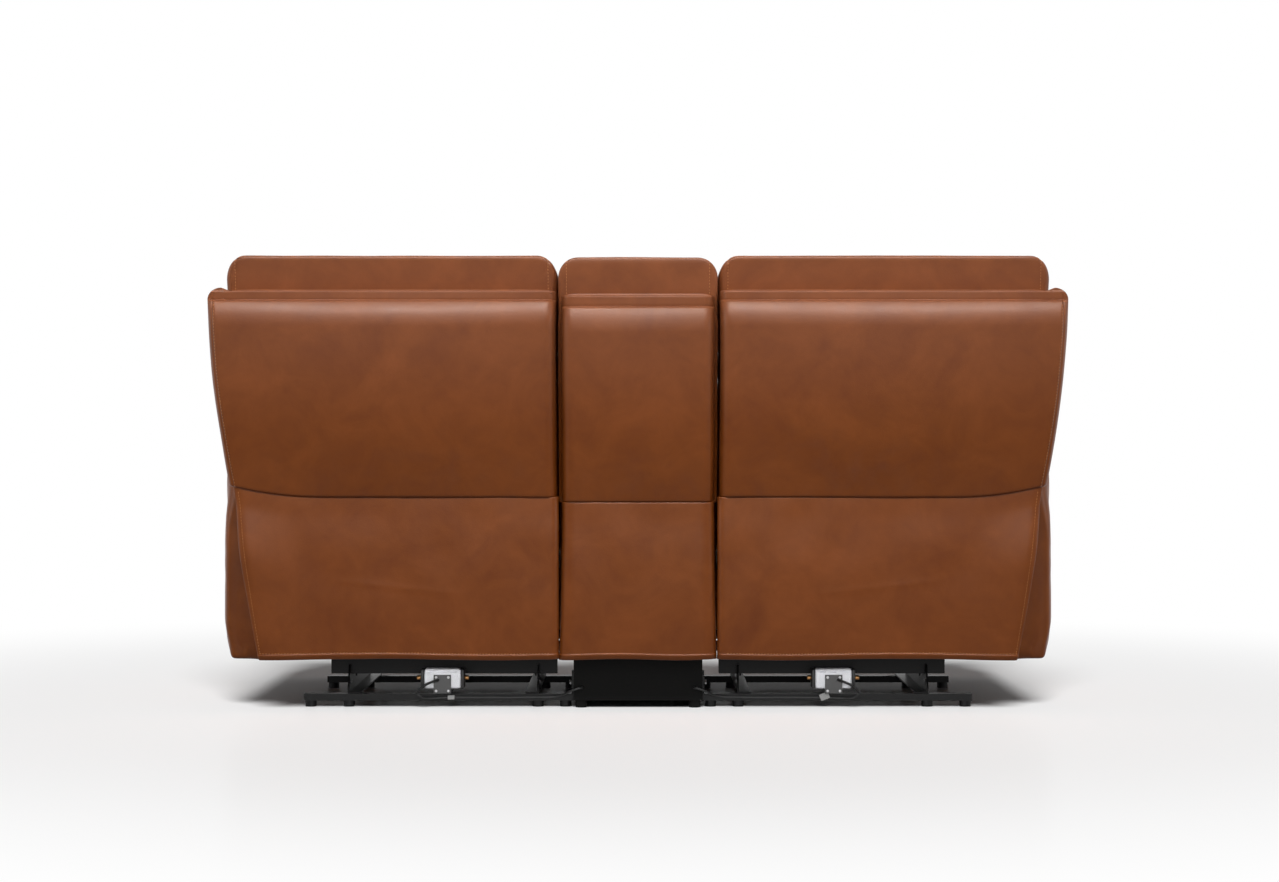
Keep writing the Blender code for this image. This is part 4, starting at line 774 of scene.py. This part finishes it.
def collarPoint(x, w, v, setback, top, ends):  # from the strip's top forward, then up in a hollow curve
    s = collar
    edge = min(abs(x - ends[0]), abs(x - ends[1]))
    rise = s["rise"] * max(0.25, quarterRound(edge / s["fade"]))
    start = Vector((rearPlane(top) - panel["stripTop"] - s["tuck"], top - s["drop"]))
    end = Vector((rearPlane(top + rise) - setback - s["sink"], top + rise))
    knee = Vector((end.x - back["slope"] * rise + 0.001, top - s["drop"]))
    spot = start.lerp(knee, v).lerp(knee.lerp(end, v), v)
    way = (knee.lerp(end, v) - start.lerp(knee, v)).normalized()
    spot += Vector((way.y, -way.x)) * (s["thick"] * w)
    return Vector((x, spot.x, spot.y))


def makeCollars():
    ends = headBox[0].x + collar["inset"], headBox[1].x - collar["inset"]
    inner = ends[0] + collar["fineRun"], ends[1] - collar["fineRun"]
    row = marks((ends[0], inner[0], 8), (*inner, 36), (inner[1], ends[1], 8))
    for word, side in sides.items():
        edges = [side * x for x in ends]
        place = lambda x, w, v: collarPoint(x, w, v, headrest["setback"], panel["top"], edges)
        rows = [side * x for x in row], [0, 1], marks((0, 1, collar["steps"]))
        neck = cutBlock(f"{word}HeadrestCollar", rows, place)
        refine(neck)
        middle = sum(edges) / 2
        path = [place(middle, 0, v) for v in rows[2]]
        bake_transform(neck)
        cut = ends[1] - ends[0], collarRun(path)


makeCollars()
print("collars")


# cushions and pads that the sitter uses, built between their CAD boxes

def boxCushion(name, node, radii, cells, warp=None, cap=0.0, sewn=((), (), ()), groove=None, sideways=1.0,
               rear=1.0):
    low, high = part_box(node)
    middle, size = (low + high) / 2, (high - low) / 2
    turns = [min(r, 0.98 * h) for r, h in zip(radii or (0.05, 0.05, 0.05), size)]
    rows = [sewnMarks(edgeMarks(h, min(r, h * 0.6), n, 6), lines)
            for h, r, n, lines in zip(size, turns, cells, sewn)]

    def place(a, b, c):
        p = roundedPoint((a, b, c), size, turns) if radii else Vector((a, b, c))
        unit = Vector([v / h for v, h in zip(p, size)])
        return warp(middle, size, p, unit) if warp else middle + p

    obj = cutBlock(name, rows, place)
    if cap:
        stuff(obj, cap, sideways, rear)
    if groove:
        pinch(obj, groove)
    refine(obj)
    return obj


# sewn lines run from the seat over its nose and down the footrest, and across the seat and the back
seat = dict(nose=0.048, noseLow=0.397, noseRun=0.03, crown=0.010, cap=0.024, shrink=0.012, line=0.205,
            crossAt=-0.150, deep=0.0065, wide=0.0065)


def seatWarp(middle, size, p, unit):
    spot = middle + p
    nose = seat["nose"] * ease((spot.z - seat["noseLow"]) / seat["noseRun"])
    front, rear = middle.y - size.y + seat["nose"] - nose, middle.y + size.y
    spot.y = between(front, rear, (unit.y + 1) / 2)
    dome = (1 - unit.x ** 2) * (1 - unit.y ** 2)
    spot.z += seat["crown"] * max(0.0, unit.z) * dome - seat["shrink"] * max(0.0, unit.z)
    return spot


def seatGroove(a, b, c):
    s = seat
    lines = ridge(abs(a), s["line"], s["wide"])
    cross = ridge(b, s["crossAt"], s["wide"]) if c > 0.03 else 0.0
    return s["deep"] * max(lines, cross) * ease((c + 0.05) / 0.03)


lumbar = dict(inner=0.1855, outerLow=0.784, outerHigh=0.912, shoulder=0.6715, shoulderRun=0.04, cap=0.024,
              depth=0.212, setback=0.079, belly=0.004, line=0.262, crossAt=(-0.075, 0.070), deep=0.0075,
              wide=0.0085)


def lumbarEdge(z):  # the back cushion widens above the arm
    s = lumbar
    return between(s["outerLow"], s["outerHigh"], ease((z - s["shoulder"]) / s["shoulderRun"]))


def lumbarWarp(middle, size, p, unit):
    s = lumbar
    z = middle.z + p.z
    x = between(s["inner"], lumbarEdge(z), (unit.x + 1) / 2)
    rear = rearPlane(z) - s["setback"]
    y = between(rear - s["depth"], rear, (unit.y + 1) / 2)
    y -= s["belly"] * max(0.0, -unit.y) * (1 - unit.x ** 2) * math.sin(math.pi * (unit.z + 1) / 2)
    return Vector((x, y, z))


def lumbarGroove(a, b, c):
    s = lumbar
    if b > -0.05:
        return 0.0
    across = max(ridge(c, at, s["wide"]) for at in s["crossAt"]) * (1.0 if abs(a) < s["line"] else 0.0)
    return s["deep"] * max(across, ridge(abs(a), s["line"], s["wide"]))


footPad = dict(crown=0.006, shrink=0.006, cap=0.007, line=0.205, deep=0.0040, wide=0.0060)


def footPadWarp(middle, size, p, unit):
    spot = middle + p
    dome = (1 - unit.x ** 2) * (1 - unit.z ** 2)
    spot.y -= footPad["crown"] * max(0.0, -unit.y) * dome - footPad["shrink"] * max(0.0, -unit.y)
    return spot


def footPadGroove(a, b, c):
    return footPad["deep"] * ridge(abs(a), footPad["line"], footPad["wide"]) if b < 0 else 0.0


arm = dict(roundTop=0.060, roundLow=0.012, cap=0.008, tuck=0.011, tuckFrom=0.200, tuckRun=0.085,
           cells=(4, 34, 22), line=0.050, facing=-0.340, deep=0.0045, wide=0.0060)


def armWarp(middle, size, p, unit):
    turn = between(arm["roundLow"], arm["roundTop"], ease((unit.z - 0.1) / 0.8))
    spot = middle + roundedPoint(p, size, (turn, turn, turn))
    spot.x -= arm["tuck"] * max(0.0, unit.x) * ease((arm["tuckFrom"] - spot.z) / arm["tuckRun"])
    return spot


def armGroove(a, b, c):
    s = arm
    along = ridge(abs(a), s["line"], s["wide"]) if c > 0.2 and b > s["facing"] else 0.0
    return s["deep"] * max(along, ridge(b, s["facing"], s["wide"]))


def makeSeatGoods():
    both = lambda at: (-at, at)
    plan = (
        dict(label="SeatCushion", node="seat_cushion", body="seat", fill=0.7, radii=(0.030, 0.045, 0.045),
             cells=(26, 26, 5), warp=seatWarp, cap=seat["cap"], groove=seatGroove, sideways=0.0,
             sewn=(both(seat["line"]), (seat["crossAt"],), ())),
        dict(label="BackCushion", node="back_cushion", body="back", fill=0.6, radii=(0.014, 0.060, 0.060),
             cells=(26, 8, 22), warp=lumbarWarp, cap=lumbar["cap"], groove=lumbarGroove, sideways=0.0,
             sewn=(both(lumbar["line"]), (), lumbar["crossAt"])),
        dict(label="FootrestPad", node="footrest_pad", body="foot", fill=0.8, radii=(0.020, 0.020, 0.020),
             cells=(26, 2, 14), warp=footPadWarp, cap=footPad["cap"], groove=footPadGroove, sideways=0.5,
             sewn=(both(footPad["line"]), (), ())),
        dict(label="Arm", node="arm", body="base", fill=0.8, radii=None, cells=arm["cells"], warp=armWarp,
             cap=arm["cap"], groove=armGroove, sideways=0.4,
             sewn=(both(arm["line"]), (arm["facing"],), ())),
    )
    for number, row in enumerate(plan):
        label, node, body, fill = (row.pop(key) for key in ("label", "node", "body", "fill"))
        left = boxCushion(f"left{label}", f"left_{node}", **row)
        right = mirrored(left, f"right{label}")
        for word, obj in (("left", left), ("right", right)):
            uneven(obj, 0.0015, 0.14, 7.0 * number + (3.3 if word == "left" else 0.0), row["sideways"])
            dress(obj, body if body == "base" else f"{word}_{body}", [f"{word}_{node}"], fill=fill)
        covers[label] = {"left": left, "right": right}
        print("pair:", label)


covers = {}
makeSeatGoods()


# console: box with a storage well and cup pockets, armrest lid, tall cushion, outside back and flap

console = dict(radii=(0.020, 0.020, 0.020), lidRadii=(0.020, 0.020, 0.020), lidCap=0.006, lidDeep=0.0035,
               lidWide=0.005, lidCrown=0.006, lidShrink=0.005, cushionRadii=(0.044, 0.034, 0.048),
               cushionCap=0.008, setback=0.050, depth=0.175, belly=0.010, sideBulge=0.042, rearFull=0.018,
               cup=0.040, cupTool=0.15, neckHalf=0.168)


def cutAway(obj, tools):
    for tool in tools:
        step = obj.modifiers.new("opening", "BOOLEAN")
        step.operation = "DIFFERENCE"
        step.object = tool
    takeShape(obj)
    for tool in tools:
        bpy.data.objects.remove(tool)
    obj.data.set_sharp_from_angle(angle=math.radians(50))


def newBlock(low, high, bevel=0.0, segments=2):  # a bevelled block between two corners
    shape = bmesh.new()
    low, high = Vector(low), Vector(high)
    spot = Matrix.Translation((low + high) / 2) @ Matrix.Diagonal((*(high - low), 1))
    bmesh.ops.create_cube(shape, size=1, matrix=spot)
    if bevel:
        bmesh.ops.bevel(shape, geom=shape.edges[:], offset=bevel, segments=segments, profile=0.5,
                        affect="EDGES", material=-1)
    return shape


def newRod(centre, axis, radius, length, sides=24, bevel=0.0):  # a round bar, its ends eased
    shape = bmesh.new()
    turn = Vector((0, 0, 1)).rotation_difference(Vector(axis)).to_matrix().to_4x4()
    bmesh.ops.create_cone(shape, cap_ends=True, segments=sides, radius1=radius, radius2=radius,
                          depth=length, matrix=Matrix.Translation(centre) @ turn)
    if bevel:
        rims = [e for e in shape.edges if any(len(f.verts) > 4 for f in e.link_faces)]
        bmesh.ops.bevel(shape, geom=rims, offset=bevel, segments=2, profile=0.5,
                        affect="EDGES", material=-1)
    return shape


def consoleBodyWarp(middle, size, p, unit):  # a little fuller towards the rear
    return middle + Vector((p.x * (1 + console["rearFull"] * ease((unit.y - 0.2) / 0.4)), p.y, p.z))


def makeConsoleBody():
    body = boxCushion("consoleBody", "console_body", console["radii"], (16, 30, 20), consoleBodyWarp)
    well = next(o for o in frame["record"]["physics"]["openings"] if o["name"] == "console_well")
    low, high = (Vector(corner) for corner in well["box_m"])
    edge = Vector((0.001, 0.001, 0.001))
    tools = [finishMesh("wellTool", newBlock(low - edge, high + edge + Vector((0, 0, 0.05))), leather)]
    for word in sides:
        low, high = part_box(f"{word}_cup_holder")
        centre = (low + high) / 2
        depth = console["cupTool"]
        spot = (centre.x, centre.y, low.z + depth / 2)
        tools.append(finishMesh("cupTool", newRod(spot, (0, 0, 1), console["cup"], depth, 48), leather))
    uneven(body, 0.0010, 0.14, 31.0)
    cutAway(body, tools)
    dress(body, "base", ["console_body"], fill=0.9)


def lidWarp(middle, size, p, unit):
    spot = middle + p
    dome = (1 - unit.x ** 2) * (1 - unit.y ** 2)
    spot.z += console["lidCrown"] * max(0.0, unit.z) * dome - console["lidShrink"] * max(0.0, unit.z)
    return spot


def lidGroove(a, b, c):  # the seam where the lid's top panel meets its sides
    return console["lidDeep"] * ridge(c, 0.0, console["lidWide"])


def consoleCushionWarp(middle, size, p, unit):
    s = console
    z = middle.z + p.z
    rear = rearPlane(z) - s["setback"]
    deep = 1 - (1 - unit.y) ** 2 if unit.y > 0 else unit.y  # a tighter edge towards the rear
    y = between(rear - s["depth"], rear, (deep + 1) / 2)
    y -= s["belly"] * max(0.0, -unit.y) * (1 - unit.x ** 2) * math.sin(math.pi * (unit.z + 1) / 2)
    return Vector((p.x * (1 + s["sideBulge"] * (1 - unit.y ** 6)), y, z))


consolePanel = dict(half=0.176, frontHalf=0.1845, low=0.486, top=0.963, thick=0.044, crown=0.008,
                    strip=0.025, stripTop=0.019, stripIn=0.0175, stripRound=0.0025, creaseIn=0.0195,
                    ledge=0.010, ledgeRound=0.004, roll=0.065, rollOut=0.008, sideRound=0.028,
                    sideDrop=0.026, lowRun=0.20, lowDrop=0.008)


def consolePanelPoint(u, w, v):
    s = consolePanel
    z = between(s["low"], s["top"], v)
    out = stripAndRoll(s["top"] - z, s) + s["crown"] * (1 - u * u) * math.sin(math.pi * v)
    out -= s["sideDrop"] * (1 - quarterRound((1 - abs(u)) * s["half"] / s["sideRound"]))
    out -= s["lowDrop"] * max(0.0, 1 - (z - s["low"]) / s["lowRun"]) ** 2
    half = between(s["frontHalf"], s["half"], max(ease((w - 0.15) / 0.15), ease((z - 0.90) / 0.04)))
    return Vector((half * u, rearPlane(z) + between(-s["thick"], out, w), z))


consoleFlap = dict(half=0.1765, flare=0.008, top=0.489, bottom=0.1215, y=0.3998, thick=0.005, lap=0.0032,
                   leadHigh=0.055, fold=0.0030, foldHigh=0.005, belly=0.003, tuck=0.014, sideRound=0.034,
                   sideDrop=0.018, foldOut=0.003, cut=(0.385, 0.370))


def consoleFlapPoint(u, w, v):
    s = consoleFlap
    low = s["bottom"] + 0.0015 * math.sin(u * 4 + 0.5)
    z = between(low, s["top"], v)
    down = (s["top"] - z) / (s["top"] - low)
    lead = rearPlane(consolePanel["low"]) - consolePanel["lowDrop"] + s["lap"] - s["y"]
    out = lead * (1 - ease((s["top"] - z) / s["leadHigh"])) - s["tuck"] * down * down
    out -= s["fold"] * (1 - quarterRound((s["top"] - z) / s["foldHigh"]))
    out += s["belly"] * math.sin(math.pi * down)
    out += hemOut(z - low)
    out -= s["sideDrop"] * (1 - quarterRound((1 - abs(u)) * s["half"] / s["sideRound"]))
    out += s["foldOut"] * ripple(u * 0.2, 4.0, z * 0.7, 0.10) * math.sin(math.pi * min(1.0, down * 1.5))
    return Vector(((s["half"] + s["flare"] * down * down) * u, s["y"] + out + s["thick"] * (w - 0.5), z))


def makeConsole():
    makeConsoleBody()
    lid = boxCushion("consoleLid", "console_lid", console["lidRadii"], (18, 20, 6), lidWarp,
                     console["lidCap"], groove=lidGroove)
    dress(lid, "console_lid", ["console_lid"], fill=0.7)
    cushion = boxCushion("consoleBackCushion", "console_back_cushion", console["cushionRadii"], (16, 8, 24),
                         consoleCushionWarp, console["cushionCap"], sideways=0.0, rear=0.0)
    uneven(cushion, 0.0012, 0.12, 41.0, sideways=0.0)
    dress(cushion, "base", ["console_back_cushion"], fill=0.7)
    rows = (marks((-1, -0.84, 8), (-0.84, 0.84, 24), (0.84, 1, 8)), [0, 0.15, 0.3, 1],
            marks((0, 0.11, 8), (0.11, 0.82, 24), (0.82, 0.93, 10), (0.93, 0.96, 8), (0.96, 1, 9)))
    outside = cutBlock("consoleOutsideBack", rows, consolePanelPoint)
    refine(outside)
    uneven(outside, 0.0012, 0.14, 45.0)
    dress(outside, "base", ["console_outside_back"], fill=0.8)
    rows = (marks((-1, -0.8, 8), (-0.8, 0.8, 20), (0.8, 1, 8)), [0, 1],
            marks((0, 0.030, 5), (0.030, 0.052, 7), (0.052, 0.92, 26), (0.92, 0.982, 4), (0.982, 1, 5)))
    hanging = cutBlock("consoleFlap", rows, consoleFlapPoint)
    refine(hanging)
    uneven(hanging, 0.0010, 0.11, 52.0)
    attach(hanging, "base")
    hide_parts("console_skirt")
    ends = -console["neckHalf"], console["neckHalf"]
    place = lambda x, w, v: collarPoint(x, w, v, console["setback"], consolePanel["top"], ends)
    rows = marks((*ends, 34)), [0, 1], marks((0, 1, collar["steps"]))
    neck = cutBlock("consoleCollar", rows, place)
    refine(neck)
    dress(neck, "base")
    cut = ends[1] - ends[0], collarRun([place(0, 0, v) for v in rows[2]])
    return {"lid": lid, "cushion": cushion}


consoleGoods = makeConsole()
print("console")


# seams with topstitching, one thread object for each body

def finishThread(name, rows):
    obj = finishMesh(name, rows, thread)
    return obj


def flapRays(u0, v0, u1, v1, count=90):  # along the flap, looking in at its outer face
    rays = []
    for number in range(count + 1):
        share = number / count
        u, v = between(u0, u1, share), between(v0, v1, share)
        face = flapPoint(u, 1, v)
        way = (flapPoint(u, 0, v) - face).normalized()
        rays.append((face - way * 0.02, way))
    return rays


def mirrorRays(rays, side):
    return [(Vector((p[0] * side, p[1], p[2])), Vector((d[0] * side, d[1], d[2]))) for p, d in rays]


seams = dict(wingBend=0.17, flapEdge=0.986, hemUp=0.040, beside=0.0065)


def frontRow(x0, z0, x1, z1):  # rays looking along +Y at the front of a cover
    return line((x0, -0.8, z0), (x1, -0.8, z1), (0, 1, 0), 90)


def sitterRows(side):  # rays for the rows beside each sewn line on what the sitter uses
    off, rows = seams["beside"], {"SeatCushion": [], "BackCushion": [], "FootrestPad": [], "Arm": []}
    low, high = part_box("left_seat_cushion")
    middle = (low + high) / 2
    for s in (-1, 1):
        for x in (s * seat["line"] - off, s * seat["line"] + off):
            x = side * (middle.x + x)
            rows["SeatCushion"] += [
                line((x, low.y + 0.02, 0.8), (x, high.y - 0.03, 0.8), (0, 0, -1), 120),
                frontRow(x, high.z - 0.03, x, low.z + 0.03)]
            footLow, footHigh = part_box("left_footrest_pad")
            rows["FootrestPad"].append(frontRow(x, footHigh.z - 0.012, x, footLow.z + 0.012))
        y = middle.y + seat["crossAt"] + s * off
        reach = seat["line"] - 0.012
        ends = [side * (middle.x + e) for e in (-reach, reach)]
        rows["SeatCushion"].append(line((ends[0], y, 0.8), (ends[1], y, 0.8), (0, 0, -1), 120))
    low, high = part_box("left_back_cushion")
    middle, half = (low + high) / 2, (high.x - low.x) / 2
    for s in (-1, 1):
        for at in lumbar["crossAt"]:
            z = middle.z + at + s * off
            share = (lumbar["line"] - 0.012) / half
            ends = [side * between(lumbar["inner"], lumbarEdge(z), (e * share + 1) / 2) for e in (-1, 1)]
            rows["BackCushion"].append(frontRow(ends[0], z, ends[1], z))
    low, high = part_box("left_arm")
    middle = (low + high) / 2
    facing = middle.y + arm["facing"]
    for x in (-arm["line"] - off, -arm["line"] + off, arm["line"] - off, arm["line"] + off):
        x = side * (middle.x + x)
        rows["Arm"].append(line((x, facing + 0.012, 1), (x, high.y - 0.05, 1), (0, 0, -1), 120))
    for s in (-1, 1):
        rows["Arm"].append(around(1, facing + s * off, (side * middle.x, middle.z), -75, 255))
    return rows


def makeStitching():
    for word, side in sides.items():
        rows = bmesh.new()
        wing = []
        for number in range(81):
            v = between(0.012, 0.93, number / 80)
            p = panelPoint(1 + seams["wingBend"], 1, v)
            wing.append((p + Vector((0.006, 0.03, 0)), (-0.2, -1, 0)))
        sew(rows, outsideBacks[word], mirrorRays(wing, side))
        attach(finishThread(f"{word}BackStitching", rows), f"{word}_back")
        rows = bmesh.new()
        low, high = headBox
        for x in (low.x + headrest["seamIn"] + 0.005, high.x - headrest["seamIn"] - 0.005):
            sew(rows, headrests[word], around(0, side * x, (0.40, 0.97), -5, 215))
        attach(finishThread(f"{word}HeadrestStitching", rows), f"{word}_head")
        rows = bmesh.new()
        edge, up = seams["flapEdge"], seams["hemUp"]
        sew(rows, flaps[word], mirrorRays(flapRays(edge, 0.965, edge, up), side))
        sew(rows, flaps[word], mirrorRays(flapRays(edge, up, 0.035, up), side))
        hangFlap(finishThread(f"{word}FlapStitching", rows))
        bodies = {"SeatCushion": "seat", "BackCushion": "back", "FootrestPad": "foot"}
        for label, lines in sitterRows(side).items():
            rows = bmesh.new()
            for rays in lines:
                sew(rows, covers[label][word], rays)
            body = f"{word}_{bodies[label]}" if label in bodies else "base"
            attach(finishThread(f"{word}{label}Stitching", rows), body)
    rows = bmesh.new()
    low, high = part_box("console_lid")
    middle = (low + high) / 2
    for z in (middle.z - seams["beside"], middle.z + seams["beside"]):
        sew(rows, consoleGoods["lid"], around(2, z, middle.xy, 0, 360, 240))
    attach(finishThread("consoleLidStitching", rows), "console_lid")
    rows = bmesh.new()
    half = consoleGoods["cushion"].dimensions.x / 2 - 0.020
    for x in (-half, half):
        sew(rows, consoleGoods["cushion"], around(0, x, (0.37, 0.97), 0, 200))
    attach(finishThread("consoleStitching", rows), "base")


makeStitching()
print("stitching")


# drive motors: grey case with cooling slots, dark end caps, brass pivots and cover screws

motor = dict(cap=0.008, bevel=0.006, slot=0.0035, slotDeep=0.007, slotLong=0.014, slotStep=0.026,
             pivot=0.0055, screw=0.0032, screwAside=0.0145, screwIn=0.006)


def joinShapes(shapes):
    whole = shapes[0]
    for other in shapes[1:]:
        mesh = bpy.data.meshes.new("loose")
        other.to_mesh(mesh)
        other.free()
        whole.from_mesh(mesh)
        bpy.data.meshes.remove(mesh)
    return whole


def newScrew(centre, radius, axis=(0, 1, 0), high=0.0022, sides=16):  # eased head with a socket in its face
    axis = Vector(axis)
    head = newRod(Vector(centre) + axis * high / 2, axis, radius, high, sides, radius * 0.28)
    head.normal_update()
    face = max(head.faces, key=lambda f: f.calc_center_median().dot(axis) + f.calc_area())
    bmesh.ops.inset_individual(head, faces=[face], thickness=radius * 0.30, depth=0.0)
    bmesh.ops.inset_individual(head, faces=[face], thickness=radius * 0.08, depth=-high * 0.4)
    return head


def flat(obj, angle=35):
    obj.data.set_sharp_from_angle(angle=math.radians(angle))
    return obj


def makeMotors():
    for word in sides:
        low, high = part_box(f"{word}_drive_motor")
        middle = (low + high) / 2
        cap = Vector((motor["cap"], 0, 0))
        case = newBlock(low + cap, high - cap, motor["bevel"], 3)
        case = flat(finishMesh(f"{word}MotorCase", case, motorCase))
        tools = []
        for step in (-1, 0, 1):
            spot = Vector((middle.x + step * motor["slotStep"], high.y, high.z - motor["slotDeep"]))
            reach = Vector((motor["slotLong"] / 2, 0.010, motor["slot"] / 2))
            tools.append(finishMesh("slotTool", newBlock(spot - reach, spot + reach, 0.0012), blackPlastic))
        cutAway(case, tools)
        dress(case, "base", [f"{word}_drive_motor"])
        ends = joinShapes([
            newBlock(low, (low.x + motor["cap"], high.y, high.z), 0.003),
            newBlock((high.x - motor["cap"], low.y, low.z), high, 0.003)])
        dress(flat(finishMesh(f"{word}MotorCaps", ends, blackPlastic)), "base")
        spots = [(x, middle.y + 0.006, middle.z + 0.002) for x in (low.x - 0.005, high.x + 0.005)]
        pins = joinShapes([newRod(spot, (1, 0, 0), motor["pivot"], 0.010, 20, 0.001) for spot in spots])
        dress(flat(finishMesh(f"{word}MotorPivots", pins, brass)), "base")
        gearLow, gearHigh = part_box(f"{word}_gearbox")
        screws = joinShapes([newScrew((middle.x + a * motor["screwAside"], gearHigh.y, z), motor["screw"])
                             for a in (-1, 1)
                             for z in (gearLow.z + motor["screwIn"], gearHigh.z - motor["screwIn"])])
        dress(flat(finishMesh(f"{word}CoverScrews", screws, brightSteel)), "base")


makeMotors()
print("motors")


# small parts under the hem: frame bolts, a connector on the left lead and a blank flag tag on the right one
hardware = dict(bolt=0.0048,
                bolts=((0.2355, 0.245, 0.058), (0.2355, 0.233, 0.072), (0.6845, 0.245, 0.060)),
                lugX=0.1572, lugBolt=(0.250, 0.0573), lead=(0.4425, 0.2705, 0.0230),
                plug=(0.016, 0.012, 0.010), flag=(0.022, 0.0014, 0.016), flagTurn=math.radians(22),
                sleeve=0.0042)


def makeHardware():
    s = hardware
    for word, side in sides.items():
        bolts = [newScrew((side * x, y, z), s["bolt"], (-side, 0, 0), 0.005, 6) for x, y, z in s["bolts"]]
        bolts.append(newScrew((side * s["lugX"], *s["lugBolt"]), s["bolt"] * 1.2, (side, 0, 0), 0.006, 6))
        heads = flat(finishMesh(f"{word}FrameBolts", joinShapes(bolts), brightSteel))
        dress(heads, "base")
    spot, half = Vector(s["lead"]), Vector(s["plug"]) / 2
    plug = newBlock(spot - half, spot + half, 0.0012)
    dress(flat(finishMesh("leftLeadConnector", plug, whiteNylon)), "base")
    spot.x = -spot.x
    half = Vector(s["flag"]) / 2
    middle = spot + Vector((0, s["sleeve"] + 0.002, half.z * 0.4))
    flag = newBlock(middle - half, middle + half, 0.0004)
    bmesh.ops.rotate(flag, cent=spot, matrix=Matrix.Rotation(s["flagTurn"], 3, "Y"), verts=flag.verts)
    sleeve = newRod(spot, (1, 0, 0), s["sleeve"], s["flag"][0] * 0.7, 20, 0.0006)
    tag = flat(finishMesh("rightLeadTag", joinShapes([sleeve, flag]), whiteNylon))
    dress(tag, "base")


makeHardware()
print("hardware")


# every CAD node that still shows takes the finish of its slot
finishes = {"black_steel": blackSteel, "black_plastic": blackPlastic, "motor_housing": motorCase,
            "plywood": plywood, "black_plinth": plinthPaint, "brushed_steel": brightSteel,
            "cable_sheath": cableSheath, "tan_leather": leather}
for node in nodes.values():
    for place in node.material_slots:
        place.material = finishes[place.material.name.split(".")[0]]
print("finishes on the frame's own pieces")

# a low lamp behind the sofa picks out the motors and the rails alone
lit = bpy.data.collections["motorLampReceivers"]
for word in sides:
    for piece in (f"{word}MotorCase", f"{word}_gearbox", f"{word}_rear_foot_rail", f"{word}_motor_lead"):
        lit.objects.link(bpy.data.objects[piece])
        lit.collection_objects[-1].light_linking.link_state = "INCLUDE"
